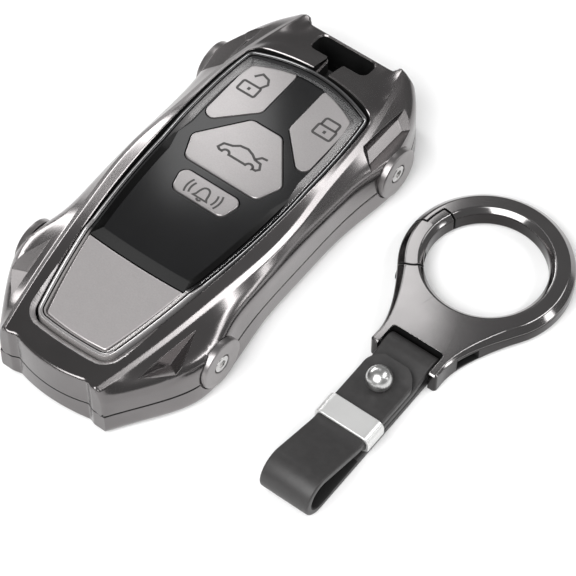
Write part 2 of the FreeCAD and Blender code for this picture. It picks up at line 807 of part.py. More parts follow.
def pivot_point():
    """Axis of the gate: on the middle of the ring's limb."""
    radius = (size("ring_eye") + size("ring_outer")) / 2
    angle = math.radians(size("gate_pivot_angle"))
    return Vector(size("chain_x") + radius * math.cos(angle), size("ring_y") + radius * math.sin(angle), 0)


def beside_pivot(low, high, z0, z1):
    """A wide slab across the limb at the gate's pivot, from low to high along the limb towards the latch."""
    slab = block(-ASIDE, ASIDE, low, high, z0, z1)
    slab.rotate(Vector(0, 0, 0), Vector(0, 0, 1), size("gate_pivot_angle") - 180)
    slab.translate(pivot_point())
    return slab


def gate_region(grow):
    """Plan region of the gate: a round tail, a long outer half and a longer inner nose about the pivot."""
    pivot = pivot_point()
    top = size("ring_height")
    outer = rod_z(size("gate_outer_reach") + grow, pivot.x, pivot.y, 0, top)
    nose = rod_z(size("gate_nose_reach") + grow, pivot.x, pivot.y, 0, top)
    step = rod_z(size("gate_step_radius") + grow, size("chain_x"), size("ring_y"), 0, top)
    arm = outer.fuse(nose.common(step)).common(beside_pivot(0, ASIDE, 0, top))
    return arm.fuse(rod_z(size("gate_tail") + grow, pivot.x, pivot.y, 0, top))


tongue_base = (size("ring_height") - size("tongue_height") - size("spring_height") - size("running_gap")) / 2
tongue_top = tongue_base + size("tongue_height")
spring_top = tongue_top + size("running_gap") + size("spring_height")


def tongue_slot():
    """Slot through the gate's tail that takes the ring's tongue and the spring."""
    pivot = pivot_point()
    low = tongue_base - size("running_gap")
    high = spring_top + size("running_gap")
    hub = rod_z(size("tongue_half") + size("gate_gap"), pivot.x, pivot.y, low, high)
    return hub.fuse(beside_pivot(-ASIDE, 0, low, high))


def ring_tongue():
    """The ring's tongue that reaches into the gate and carries the pin."""
    pivot = pivot_point()
    half = size("tongue_half")
    bar = Part.makeBox(2 * half, size("gate_tail") + half, size("tongue_height"),
                       Vector(-half, -size("gate_tail") - half, tongue_base))
    bar.rotate(Vector(0, 0, 0), Vector(0, 0, 1), size("gate_pivot_angle") - 180)
    bar.translate(pivot)
    return bar.fuse(rod_z(half, pivot.x, pivot.y, tongue_base, tongue_top))


def pin_hole(grow):
    """Bore for the gate pin, blind at the top."""
    pivot = pivot_point()
    radius = size("gate_pin_diameter") / 2 + grow
    top = gate_pin_base() + size("gate_pin_length") + size("running_gap")
    return rod_z(radius, pivot.x, pivot.y, UNDER, top)


def gate_pin_base():
    return (size("ring_height") - size("gate_pin_length")) / 2 - size("running_gap") * 4


strap_pin_z = size("strap_thickness") + size("strap_pin_gap") + size("strap_pin_diameter") / 2


def make_ring_body():
    x = size("chain_x")
    ring = ring_profile().fuse(ring_neck()).removeSplitter()
    ring = ring.cut(gate_region(size("gate_gap")))
    ring = ring.fuse(ring_tongue()).removeSplitter()
    half = size("strap_width") / 2 + size("notch_side_gap")
    fold_end = size("strap_pin_y") + strap_pin_z
    notch = block(x - half, x + half, -ASIDE, fold_end + size("notch_gap"), UNDER, OVER)
    window_half = size("neck_window_length") / 2
    middle = size("ring_height") / 2
    high = size("neck_window_height") / 2
    wy = size("neck_window_y")
    depth = size("neck_mid_half") - size("neck_window_depth")
    cuts = [notch, pin_hole(size("running_gap"))]
    for x0, x1 in ((x + depth, x + ASIDE), (x - ASIDE, x - depth)):
        cuts.append(block(x0, x1, wy - window_half, wy + window_half, middle - high, middle + high))
    cross = size("strap_pin_diameter") / 2 + size("running_gap") / 2
    reach = half + size("strap_pin_seat") + size("running_gap")
    cuts.append(rod_x(cross, x - ASIDE, x + reach, size("strap_pin_y"), strap_pin_z))
    return ring.cut(cuts)


def make_ring_gate():
    gate = ring_profile().common(gate_region(0.0))
    return gate.cut([tongue_slot(), pin_hole(size("running_gap"))])


def strip_outline(points, radii, thickness):
    """Side view of a strip: a route of (y, z) points with rounded corners, given its thickness."""
    route = [Vector(0, y, z) for y, z in points]
    across = Vector(1, 0, 0)
    runs = [(b - a).normalize() for a, b in zip(route, route[1:])]
    normals = [across.cross(run) for run in runs]

    def side(offset):
        """Edges of one face of the strip, offset from the middle of the leather."""
        edges = []
        here = route[0] + normals[0] * offset
        for index, radius in enumerate(radii):
            turn = runs[index].getAngle(runs[index + 1])
            reach = radius * math.tan(turn / 2)
            corner = route[index + 1]
            enter = corner - runs[index] * reach
            leave = corner + runs[index + 1] * reach
            bisector = (runs[index + 1] - runs[index]).normalize()
            middle = corner + bisector * (radius / math.cos(turn / 2) - radius)
            normal = (normals[index] + normals[index + 1]).normalize()
            start = enter + normals[index] * offset
            stop = leave + normals[index + 1] * offset
            if (start - here).Length > 1e-6:
                edges.append(Part.LineSegment(here, start).toShape())
            edges.append(Part.Arc(start, middle + normal * offset, stop).toShape())
            here = stop
        finish = route[-1] + normals[-1] * offset
        edges.append(Part.LineSegment(here, finish).toShape())
        return edges, finish

    half = thickness / 2
    one, one_end = side(half)
    other, other_end = side(-half)
    start_cap = Part.LineSegment(route[0] + normals[0] * half, route[0] - normals[0] * half).toShape()
    end_cap = Part.LineSegment(one_end, other_end).toShape()
    return Part.Face(Part.Wire(Part.__sortEdges__(one + [end_cap] + other + [start_cap])))


layer_step = size("strap_thickness") + size("strap_layer_gap")
bottom_layer_z = size("strap_thickness") / 2
flap_z = bottom_layer_z + layer_step
top_layer_z = flap_z + layer_step
tongue_root_y = size("stud_y") - size("stud_post_diameter")


def loop_shoulder():
    """Corner of the loop's route above its far end, so that the leather runs on straight to the slider."""
    radius = (size("loop_height") - size("strap_thickness")) / 2
    centre_y = size("loop_end_y") + size("strap_thickness") / 2 + radius
    centre_z = bottom_layer_z + radius
    run_y = size("loop_foot_y") - centre_y
    run_z = top_layer_z - centre_z
    touch = math.atan2(run_z, run_y) + math.acos(radius / math.hypot(run_y, run_z))
    half_turn = (math.pi - touch) / 2
    return centre_y - radius, centre_z + radius * math.tan(half_turn), radius


def make_strap():
    """One leather strip: a flap, the fold over the neck pin, the floor layer, the loop and the tongue."""
    thickness = size("strap_thickness")
    width = size("strap_width")
    fold = size("strap_pin_diameter") / 2 + size("strap_pin_gap") + thickness / 2
    fold_y = size("strap_pin_y") + fold
    fold_top = bottom_layer_z + 2 * fold
    loop_y, shoulder_z, loop_radius = loop_shoulder()
    flap_run = [(size("flap_end_y"), flap_z), (size("flap_low_y"), flap_z)]
    fold_start = size("strap_pin_y") - size("fold_run")
    fold_run = [(fold_start, fold_top), (fold_y, fold_top), (fold_y, bottom_layer_z)]
    loop_run = [(loop_y, bottom_layer_z), (loop_y, shoulder_z), (size("loop_foot_y"), top_layer_z)]
    long_route = flap_run + fold_run + loop_run + [(tongue_root_y, top_layer_z)]
    flap_radii = [size("flap_bend"), size("fold_bend"), fold, fold]
    loop_radii = [loop_radius, loop_radius, size("loop_bend")]
    end_y = size("tongue_end_y")
    bend_y = between(tongue_root_y, end_y, 0.6)
    end_z = top_layer_z + size("tongue_lift")
    tongue_route = [(tongue_root_y, top_layer_z), (bend_y, top_layer_z), (end_y, end_z)]
    across = Vector(width, 0, 0)
    strip = strip_outline(long_route, flap_radii + loop_radii, thickness).extrude(across)
    tongue = strip_outline(tongue_route, [size("tongue_bend")], thickness).extrude(across)
    for piece in (strip, tongue):
        piece.translate(Vector(size("chain_x") - width / 2, 0, 0))
    tongue = tongue.common(tongue_plan())
    strap = strip.fuse(tongue).removeSplitter()
    y = size("stud_y")
    x = size("chain_x")
    gap = size("stud_gap")
    post = rod_z(size("stud_post_diameter") / 2 + gap, x, y, UNDER, OVER)
    recess = rod_z(size("stud_base_diameter") / 2 + gap, x, y, UNDER, size("stud_base_thickness") + gap)
    return strap.cut([post, recess])


def tongue_plan():
    """Rounded end of the tongue, seen from above."""
    x = size("chain_x")
    half = size("strap_width") / 2
    end_y = size("tongue_end_y")
    round_y = end_y - size("tongue_end_round")
    inset = half - size("tongue_end_round")
    right = Vector(x + half, round_y, 0)
    left = Vector(x - half, round_y, 0)
    tip_right = Vector(x + inset, end_y, 0)
    tip_left = Vector(x - inset, end_y, 0)
    bulge = size("tongue_end_round") * (1 - math.sqrt(0.5))
    edges = [Part.LineSegment(Vector(x - half, -ASIDE, 0), Vector(x + half, -ASIDE, 0)),
             Part.LineSegment(Vector(x + half, -ASIDE, 0), right),
             Part.Arc(right, Vector(x + half - bulge, end_y - bulge, 0), tip_right),
             Part.LineSegment(tip_right, tip_left),
             Part.Arc(tip_left, Vector(x - half + bulge, end_y - bulge, 0), left),
             Part.LineSegment(left, Vector(x - half, -ASIDE, 0))]
    return prism(Part.Wire([edge.toShape() for edge in edges]), UNDER, OVER)


def bound(kind, name, sizes, base=("0", "0", "0"), axis=Vector(0, 0, 1)):
    """A primitive whose sizes and place are bound to the sheet."""
    thing = doc.addObject(kind, name)
    thing.Placement.Rotation = Rotation(Vector(0, 0, 1), axis)
    for field, formula in sizes.items():
        thing.setExpression(field, formula)
    for letter, formula in zip("xyz", base):
        thing.setExpression(f"Placement.Base.{letter}", formula)
    return thing


def cylinder(name, radius, height, base, axis=Vector(0, 0, 1)):
    return bound("Part::Cylinder", name, {"Radius": radius, "Height": height}, base, axis)


def box(name, length, width, height, base):
    return bound("Part::Box", name, {"Length": length, "Width": width, "Height": height}, base)


def cut(name, base, tool):
    result = doc.addObject("Part::Cut", name)
    result.Base = base
    result.Tool = tool
    return result


def fuse(name, *pieces):
    result = doc.addObject("Part::MultiFuse", name)
    result.Shapes = list(pieces)
    return result


def group(name, pieces):
    result = doc.addObject("Part::Compound", name)
    result.Links = pieces
    return result


def feature(name, shape):
    """A piece whose form no primitive or sketch gives."""
    result = doc.addObject("Part::Feature", name)
    result.Shape = shape
    return result


D = "Dimensions."
CAP_FACE = f"({D}window_half + {D}frame_width + {D}wheel_stand + {D}wheel_cap_proud)"
WHEEL_PLACES = {
    "front": f"({D}front_wheel_inset - {D}cover_length / 2)",
    "rear": f"({D}cover_length / 2 - {D}rear_wheel_inset)",
}
HEAD_SINK = f"({D}screw_head_height + {D}running_gap)"
STRAP_TOP = f"(3 * {D}strap_thickness + 2 * {D}strap_layer_gap)"


def wheel_places():
    """Each wheel as a name, the sign of its side and the formula for its y."""
    for side, sign in (("right", 1), ("left", -1)):
        for end, place in WHEEL_PLACES.items():
            yield f"{end}_{side}", sign, place


def make_wheel_caps():
    caps = []
    for name, sign, y in wheel_places():
        axis = Vector(sign, 0, 0)
        back = f"{sign} * ({CAP_FACE} - {D}wheel_cap_thickness)"
        seat = f"{sign} * ({CAP_FACE} - {HEAD_SINK})"
        disc = cylinder(f"disc_{name}", f"{D}wheel_diameter / 2", f"{D}wheel_cap_thickness",
                        (back, y, f"{D}wheel_height"), axis)
        sink = cylinder(f"sink_{name}", f"{D}screw_head_diameter / 2 + {D}screw_clearance",
                        f"{D}wheel_cap_thickness", (seat, y, f"{D}wheel_height"), axis)
        hole = cylinder(f"hole_{name}", f"{D}screw_diameter / 2 + {D}screw_clearance",
                        f"{D}wheel_cap_thickness", (back, y, f"{D}wheel_height"), axis)
        caps.append(cut(f"cap_{name}", disc, fuse(f"cap_bore_{name}", sink, hole)))
    return group("wheel_caps", caps)


def make_wheel_screws():
    screws = []
    for name, sign, y in wheel_places():
        axis = Vector(sign, 0, 0)
        seat = f"{sign} * ({CAP_FACE} - {HEAD_SINK})"
        tip = f"{sign} * ({CAP_FACE} - {HEAD_SINK} - {D}screw_length)"
        socket = f"{sign} * ({CAP_FACE} - {D}running_gap - {D}screw_head_height * 0.6)"
        head = cylinder(f"head_{name}", f"{D}screw_head_diameter / 2", f"{D}screw_head_height",
                        (seat, y, f"{D}wheel_height"), axis)
        shank = cylinder(f"shank_{name}", f"{D}screw_diameter / 2", f"{D}screw_length",
                         (tip, y, f"{D}wheel_height"), axis)
        hexagon = bound("Part::Prism", f"socket_{name}",
                        {"Circumradius": f"{D}screw_socket / 1.732", "Height": f"{D}screw_head_height"},
                        (socket, y, f"{D}wheel_height"), axis)
        hexagon.Polygon = 6
        screws.append(cut(f"screw_{name}", fuse(f"screw_blank_{name}", head, shank), hexagon))
    return group("wheel_screws", screws)


def make_strap_pin():
    reach = f"({D}strap_width / 2 + {D}notch_side_gap + {D}strap_pin_seat)"
    height = f"{D}strap_thickness + {D}strap_pin_gap + {D}strap_pin_diameter / 2"
    return cylinder("strap_pin", f"{D}strap_pin_diameter / 2", f"2 * {reach}",
                    (f"{D}chain_x - {reach}", f"{D}strap_pin_y", height), Vector(1, 0, 0))


def pivot_formula():
    radius = f"({D}ring_eye + {D}ring_outer) / 2"
    angle = f"{D}gate_pivot_angle * 1deg"
    return f"{D}chain_x + {radius} * cos({angle})", f"{D}ring_y + {radius} * sin({angle})"


def make_gate_pin():
    x, y = pivot_formula()
    base = f"({D}ring_height - {D}gate_pin_length) / 2 - {D}running_gap * 4"
    return cylinder("gate_pin", f"{D}gate_pin_diameter / 2", f"{D}gate_pin_length", (x, y, base))


def make_gate_spring():
    """Torsion spring on the gate pin, as the sleeve that its close turns fill."""
    x, y = pivot_formula()
    base = (f"({D}ring_height - {D}tongue_height - {D}spring_height - {D}running_gap) / 2"
            f" + {D}tongue_height + {D}running_gap")
    outer = cylinder("spring_outside", f"{D}spring_outer", f"{D}spring_height", (x, y, base))
    inner = cylinder("spring_inside", f"{D}gate_pin_diameter / 2 + {D}running_gap * 2", f"{D}spring_height",
                     (x, y, base))
    return cut("gate_spring", outer, inner)


def make_slider():
    """Keeper: a flat metal sleeve round the top layer of the strap."""
    wall = f"{D}slider_wall"
    inner_width = f"({D}strap_width + 2 * {D}slider_gap)"
    low = f"({D}strap_thickness + {D}slider_gap / 2)"
    inner_height = f"({STRAP_TOP} + {D}slider_gap - {low} - {wall})"
    outside = box("slider_outside", f"{inner_width} + 2 * {wall}", f"{D}slider_length",
                  f"{inner_height} + 2 * {wall}",
                  (f"{D}chain_x - {inner_width} / 2 - {wall}", f"{D}slider_front_y", low))
    inside = box("slider_inside", inner_width, f"{D}slider_length", inner_height,
                 (f"{D}chain_x - {inner_width} / 2", f"{D}slider_front_y", f"{low} + {wall}"))
    return cut("slider", outside, inside)


POST_BASE = f"({D}stud_base_thickness + {D}stud_gap)"
BALL_REST = f"({STRAP_TOP} + {D}stud_neck_rise)"


def make_stud():
    """Ball stud: a post through the three layers and a ball, flat underneath."""
    place = (f"{D}chain_x", f"{D}stud_y")
    ball_radius = f"({D}stud_ball_diameter / 2)"
    centre = f"{BALL_REST} + {ball_radius} * 0.64"
    ball = bound("Part::Sphere", "stud_ball", {"Radius": ball_radius}, (*place, centre))
    corner = (f"{D}chain_x - {ball_radius}", f"{D}stud_y - {ball_radius}", f"{BALL_REST} - {ball_radius}")
    below = box("stud_flat", f"{D}stud_ball_diameter", f"{D}stud_ball_diameter", ball_radius, corner)
    head = cut("stud_head", ball, below)
    foot = (*place, POST_BASE)
    post = cylinder("stud_post", f"{D}stud_post_diameter / 2", f"{centre} - {POST_BASE}", foot)
    bore_radius = f"{D}stud_screw_diameter / 2 + {D}running_gap"
    bore = cylinder("stud_bore", bore_radius, f"{STRAP_TOP} - {POST_BASE}", foot)
    return cut("stud", fuse("stud_blank", head, post), bore)


def make_stud_screw():
    base = f"{D}stud_gap / 2"
    foot = (f"{D}chain_x", f"{D}stud_y", base)
    head_radius = f"{D}stud_base_diameter / 2"
    head = cylinder("stud_screw_head", head_radius, f"{D}stud_base_thickness", foot)
    shank = cylinder("stud_screw_shank", f"{D}stud_screw_diameter / 2",
                     f"{STRAP_TOP} - {D}strap_thickness / 2", foot)
    corner = (f"{D}chain_x - {head_radius}", f"{D}stud_y - {D}stud_screw_slot / 2", base)
    slot = box("driver_slot", f"{D}stud_base_diameter", f"{D}stud_screw_slot", f"{D}stud_base_thickness / 2",
               corner)
    return cut("stud_screw", fuse("stud_screw_blank", head, shank), slot)


blank = body_blank()
pieces = [
    feature("upper_shell", make_upper_shell(blank)),
    feature("lower_shell", make_lower_shell(blank)),
    feature("key_sleeve", make_key_sleeve()),
    feature("window_trim", make_window_trim()),
    feature("button_panel", make_button_panel()),
    feature("front_panel", make_front_panel()),
    feature("keypad_mat", make_keypad_mat()),
    feature("ring_body", make_ring_body()),
    feature("ring_gate", make_ring_gate()),
    feature("strap", make_strap()),
]
key_base = size("panel_base")
key_top = size("panel_height") + size("key_proud")
for key_name, key_shape in key_solids(0.0, key_base, key_top).items():
    pieces.append(feature(key_name, key_shape))
pieces += [make_wheel_caps(), make_wheel_screws(), make_strap_pin(), make_gate_pin(), make_gate_spring(),
           make_slider(), make_stud(), make_stud_screw()]

doc.recompute()
faulty = [thing.Label for thing in doc.Objects if {"Invalid", "Error"} & set(thing.State)]
for piece in pieces:
    if piece.Shape.isNull() or not piece.Shape.isValid() or not piece.Shape.Solids:
        faulty.append(piece.Label)
if faulty:
    raise RuntimeError("pieces that did not build: " + ", ".join(faulty))

os.makedirs("parts", exist_ok=True)
for piece in pieces:
    piece.Shape.exportStep(f"parts/{piece.Label}.step")
    box_of = piece.Shape.BoundBox
    print(f"{piece.Label:16s} solids {len(piece.Shape.Solids)} volume {piece.Shape.Volume:9.2f}"
          f" x {box_of.XMin:7.2f} {box_of.XMax:7.2f} y {box_of.YMin:7.2f} {box_of.YMax:7.2f}"
          f" z {box_of.ZMin:6.2f} {box_of.ZMax:6.2f}")
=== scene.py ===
# %% [markdown]
# # A key fob cover and its keychain
# The cover is a two-part zinc shell, shaped like a low car, that closes round a car's key fob. Four keys
# show through its window, and a leather keychain lies beside it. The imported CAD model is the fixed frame:
# it says where every piece is and how it moves. This lesson dresses that frame in better surfaces and
# finishes, in metres and in the same axes.

# %% Load the frame
import json
import math

import bmesh
import bpy
import numpy as np
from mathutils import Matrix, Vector

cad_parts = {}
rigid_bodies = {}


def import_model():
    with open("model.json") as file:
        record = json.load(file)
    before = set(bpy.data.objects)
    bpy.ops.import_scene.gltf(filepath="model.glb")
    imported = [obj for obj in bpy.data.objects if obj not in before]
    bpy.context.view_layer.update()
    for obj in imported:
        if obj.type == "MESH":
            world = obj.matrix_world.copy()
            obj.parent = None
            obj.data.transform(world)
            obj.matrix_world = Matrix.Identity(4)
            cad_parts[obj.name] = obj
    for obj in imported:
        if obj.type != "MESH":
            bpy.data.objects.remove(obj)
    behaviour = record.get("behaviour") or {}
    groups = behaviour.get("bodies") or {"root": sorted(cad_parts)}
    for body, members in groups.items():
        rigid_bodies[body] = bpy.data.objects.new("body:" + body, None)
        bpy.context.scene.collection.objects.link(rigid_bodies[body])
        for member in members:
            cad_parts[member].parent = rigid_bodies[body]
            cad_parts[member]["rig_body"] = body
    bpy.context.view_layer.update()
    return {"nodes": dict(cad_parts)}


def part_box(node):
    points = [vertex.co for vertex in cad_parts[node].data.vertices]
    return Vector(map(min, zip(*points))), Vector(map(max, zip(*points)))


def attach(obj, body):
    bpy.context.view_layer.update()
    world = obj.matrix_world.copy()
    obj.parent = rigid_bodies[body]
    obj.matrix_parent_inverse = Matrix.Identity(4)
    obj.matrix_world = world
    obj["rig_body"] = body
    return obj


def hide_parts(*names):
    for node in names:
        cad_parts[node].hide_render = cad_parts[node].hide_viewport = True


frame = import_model()
nodes = frame["nodes"]
MM = 0.001

# %% [markdown]
# ## The camera
# The photograph was taken from above the nose's right side with a long lens, so edges that are parallel
# on the object stay almost parallel in the picture. The angles and the distance were fitted to it: the
# camera is placed by its azimuth, its elevation and the point on the floor that it looks at.

# %% Camera
PHOTO_SIDE_PX = 576
FOCAL_PX = 2578.7
SENSOR_MM = 36.0
CAMERA_TURN = math.radians(52.80)
CAMERA_ELEVATION = math.radians(54.93)
CAMERA_DISTANCE = 479.7 * MM
CAMERA_TARGET = Vector((18.47, -0.06, 0.0)) * MM

away = Vector((-math.cos(CAMERA_TURN), math.sin(CAMERA_TURN), 0.0))
sight = away * math.cos(CAMERA_ELEVATION) - Vector((0, 0, 1)) * math.sin(CAMERA_ELEVATION)
lens = bpy.data.cameras.new("photo_camera")
lens.sensor_width = SENSOR_MM
lens.lens = SENSOR_MM * FOCAL_PX / PHOTO_SIDE_PX
lens.clip_start = 0.01
camera = bpy.data.objects.new("photo_camera", lens)
camera.location = CAMERA_TARGET - sight * CAMERA_DISTANCE
camera.rotation_euler = sight.to_track_quat("-Z", "Y").to_euler()
bpy.context.scene.collection.objects.link(camera)
bpy.context.scene.camera = camera
print("camera at", [round(c, 4) for c in camera.location], "lens", round(lens.lens, 1))

# %% [markdown]
# ## Finishes
# Every finish is a small node tree on the Principled shader. Colours are sRGB hex values, as a paint
# chart gives them, and one function turns them to the linear values that the shader wants. Patterns are
# sized in millimetres on Object coordinates, which are metres here, so a grain of 0.5 mm is a noise scale
# of 1 / 0.0005.

# %% Colours and nodes


def linear(code):
    """Linear RGBA of an sRGB hex colour."""
    channels = [int(code[i:i + 2], 16) / 255 for i in (1, 3, 5)]
    return [c / 12.92 if c <= 0.04045 else ((c + 0.055) / 1.055) ** 2.4 for c in channels] + [1.0]


def add(tree, kind, settings=None, links=None):
    """Adds a node, sets its properties or input sockets by name, and links its inputs."""
    made = tree.nodes.new(kind)
    for name, value in (settings or {}).items():
        if name in made.inputs:
            made.inputs[name].default_value = value
        else:
            setattr(made, name, value)
    for name, source in (links or {}).items():
        tree.links.new(source, made.inputs[name])
    return made


print("linear value of a middle grey:", round(linear("#808080")[0], 3))

# %% A finish


def per_mm(size):
    """Noise scale whose features are about that many millimetres across."""
    return 1.0 / (size * MM)


def finish(name, colour, shader=None, mottle=(2.0, 0.04), roughness=(0.3, 0.06), rough_mm=3.0,
           grain=None, edge_mm=0.0):
    """A Principled finish: a mottled colour, a spread of roughness, and if asked a grain and soft edges."""
    material = bpy.data.materials.new(name)
    material.use_nodes = True
    tree = material.node_tree
    tree.nodes.clear()
    place = add(tree, "ShaderNodeTexCoord").outputs["Object"]
    patch = add(tree, "ShaderNodeTexNoise", {"Scale": per_mm(mottle[0]), "Detail": 4.0}, {"Vector": place})
    base = linear(colour)
    dark = [c * (1 - mottle[1]) for c in base[:3]] + [1.0]
    light = [min(1.0, c * (1 + mottle[1])) for c in base[:3]] + [1.0]
    ramp = add(tree, "ShaderNodeValToRGB", None, {"Fac": patch.outputs["Fac"]})
    ramp.color_ramp.elements[0].position = 0.3
    ramp.color_ramp.elements[0].color = dark
    ramp.color_ramp.elements[1].position = 0.7
    ramp.color_ramp.elements[1].color = light
    wear = add(tree, "ShaderNodeTexNoise", {"Scale": per_mm(rough_mm), "Detail": 6.0}, {"Vector": place})
    spread = add(tree, "ShaderNodeMapRange", {"To Min": roughness[0] - roughness[1],
                                              "To Max": roughness[0] + roughness[1]},
                 {"Value": wear.outputs["Fac"]})
    surface = add(tree, "ShaderNodeBsdfPrincipled", shader,
                  {"Base Color": ramp.outputs["Color"], "Roughness": spread.outputs["Result"]})
    normal = None
    if edge_mm:
        normal = add(tree, "ShaderNodeBevel", {"Radius": edge_mm * MM, "samples": 6}).outputs["Normal"]
    if grain:
        grain_mm, depth_mm = grain
        texture = add(tree, "ShaderNodeTexNoise", {"Scale": per_mm(grain_mm), "Detail": 3.0},
                      {"Vector": place})
        links = {"Height": texture.outputs["Fac"]}
        if normal:
            links["Normal"] = normal
        bump = add(tree, "ShaderNodeBump", {"Distance": depth_mm * MM, "Strength": 1.0}, links)
        normal = bump.outputs["Normal"]
    if normal:
        tree.links.new(normal, surface.inputs["Normal"])
    out = add(tree, "ShaderNodeOutputMaterial")
    tree.links.new(surface.outputs["BSDF"], out.inputs["Surface"])
    return material


print("noise scale of a grain of 0.5 mm:", per_mm(0.5))

# %% [markdown]
# ## Metals
# The shells and the ring are die-cast zinc with a gunmetal plating: polished, dark and a little warm,
# with the faint unevenness that a casting keeps under its plating. The wheel discs are the same plating
# left satin. The slider and the ball stud are plated bright. A metal keeps the default IOR and takes its
# look from what it mirrors.

# %% Gunmetal


def along_y(material, zones):
    """Tints a finish along the object. zones are (y in millimetres, colour) stops."""
    tree = material.node_tree
    surface = next(n for n in tree.nodes if n.type == "BSDF_PRINCIPLED")
    old = surface.inputs["Base Color"].links[0].from_socket
    place = add(tree, "ShaderNodeTexCoord").outputs["Object"]
    split = add(tree, "ShaderNodeSeparateXYZ", None, {"Vector": place})
    first, last = zones[0][0], zones[-1][0]
    share = add(tree, "ShaderNodeMapRange", {"From Min": first * MM, "From Max": last * MM},
                {"Value": split.outputs["Y"]})
    band = add(tree, "ShaderNodeValToRGB", None, {"Fac": share.outputs["Result"]})
    stops = band.color_ramp.elements
    while len(stops) < len(zones):
        stops.new(0.5)
    for stop, (y, code) in zip(stops, zones):
        stop.position = (y - first) / (last - first)
        stop.color = linear(code)
    tint = add(tree, "ShaderNodeMix", {"data_type": "RGBA", "blend_type": "MULTIPLY"})
    tint.inputs[0].default_value = 1.0
    tree.links.new(band.outputs["Color"], tint.inputs[6])
    tree.links.new(old, tint.inputs[7])
    tree.links.new(tint.outputs[2], surface.inputs["Base Color"])
    return material


METAL = {"Metallic": 1.0}
# polished on a wheel: dark and a little warm, with clear but soft-edged reflections; the tint below darkens
# it towards both ends as painted shade
gunmetal = finish("gunmetal plating on zinc, polished", "#827f7f", METAL, (6.0, 0.05), (0.21, 0.02), 5.0,
                  (2.2, 0.0002), 0.12)
# darker at the nose and the tail: painted shade
along_y(gunmetal, [(-46.0, "#dadada"), (-34.0, "#e8e8e8"), (-8.0, "#ffffff"), (20.0, "#ffffff"),
                   (46.0, "#e6e6e6")])
print("shells:", gunmetal.name)

# %% Other metals
# the same plating buffed further: crisp bands of light along the bevels
ring_metal = finish("gunmetal plating on zinc, mirror polished", "#858383", METAL, (6.0, 0.04), (0.13, 0.02),
                    4.0, (2.2, 0.0004), 0.15)
# the ring's upright walls: a darker copy of the same plating, painted shade beside its bright bevels
shaded_wall_metal = finish("gunmetal plating on zinc, darker on the walls", "#343232", METAL, (6.0, 0.04),
                    (0.16, 0.02), 4.0, (2.2, 0.0004), 0.15)
# left as turned: an even grey sheen without clear reflections
wheel_metal = finish("gunmetal plating on zinc, satin", "#8a8787", METAL, (3.0, 0.05), (0.34, 0.05), 1.2,
                     (0.35, 0.0012), 0.08)
# walls of slots, grooves and seams: black and dull, painted shade, so that a narrow gap reads as a dark line
painted_shade_black = finish("zinc, blackened in its recesses", "#0b0b0b", {"Metallic": 0.2}, (2.0, 0.1), (0.6, 0.05),
                   2.0)
# milled and left unpolished: a pale, soft band round the nose end of the window
cut_edge = finish("gunmetal plating on a milled edge", "#a9a6a6", METAL, (2.0, 0.05), (0.42, 0.05), 0.8)
# plated over a satin ground: nearly white where it faces the light, without clear images
bright_plate = finish("nickel plating on brass, satin", "#d6d6d5", {"Metallic": 0.6}, (4.0, 0.03),
                      (0.32, 0.03), 2.0)
# a polished ball: one soft bright spot and a dark rim
ball_plate = finish("chromium plating on brass, polished", "#c9c9c8", METAL, (3.0, 0.03), (0.3, 0.03), 2.0)
# pale and faintly speckled
screw_steel = finish("steel, zinc plated", "#bcbbba", METAL, (1.0, 0.06), (0.26, 0.05), 0.6, (0.3, 0.001),
                     0.05)
# plain grey, for pins that hardly show
plain_steel = finish("stainless steel, turned", "#b9b8b6", METAL, (1.0, 0.06), (0.3, 0.06), 0.6, (0.3, 0.001),
                     0.05)
print("ring:", ring_metal.name, "| slider:", bright_plate.name)

# %% [markdown]
# ## Plastics, silicone and leather
# The key panel is dark gloss plastic, and the keys and the nose panel are ABS with a silver satin paint,
# whose fine metal flake gives a slight sparkle. The border round them is clear plastic over a tinted
# layer. The sleeve inside the shells is matt silicone. The strap is smooth cowhide: a tight grain, an
# even dye and burnished cut edges.

# %% Plastics, silicone and leather
# moulded against a polished tool: near black, with a faint clear reflection
dark_gloss = finish("ABS, dark gloss", "#101011", {"IOR": 1.49}, (5.0, 0.06), (0.17, 0.02), 6.0)
# the same plastic darker and less reflective, painted shade on the slope and in the border's groove
shaded_slope_gloss = finish("ABS, dark gloss, in painted shade", "#060606", {"IOR": 1.49, "Specular IOR Level": 0.16},
                     (5.0, 0.06), (0.17, 0.02), 6.0)
# clear over a silver layer at the nose and over a dark one beside the keys: a wet-looking bright line
CLEAR = {"IOR": 1.58, "Metallic": 0.35, "Coat Weight": 1.0, "Coat Roughness": 0.03}
clear_rim = finish("polycarbonate, clear over silver", "#ffffff", CLEAR, (4.0, 0.04), (0.14, 0.02), 5.0)
along_y(clear_rim, [(-40.0, "#b0aeae"), (-22.0, "#b0aeae"), (-12.0, "#6a696a"), (36.0, "#4c4c4d")])
# thin and clear: the panel below shows through, so its tone changes along the window
LIP = {"IOR": 1.49, "Metallic": 0.1, "Coat Weight": 0.4, "Coat Roughness": 0.03, "Alpha": 0.45}
clear_lip = finish("polycarbonate, clear over the panels", "#ffffff", LIP, (4.0, 0.04), (0.1, 0.02), 5.0)
along_y(clear_lip, [(-40.0, "#b5b1b0"), (-21.5, "#b5b1b0"), (-19.5, "#2a2a2b"), (4.0, "#2a2a2b"),
                    (12.0, "#8f8d8d"), (26.0, "#8f8d8d"), (30.0, "#3a3a3b"), (36.0, "#3a3a3b")])
# sprayed with fine metal flake: a soft silver sheen. The flake is drawn coarser than it is, so that it shows
SATIN = {"Metallic": 0.7}
key_silver = finish("ABS, silver satin paint", "#9c9999", SATIN, (0.25, 0.05), (0.31, 0.03), 2.0,
                    (0.18, 0.0012))
nose_silver = finish("ABS, silver satin paint, fine", "#c0bcbc", SATIN, (0.25, 0.05), (0.34, 0.03), 2.0,
                     (0.18, 0.0012))
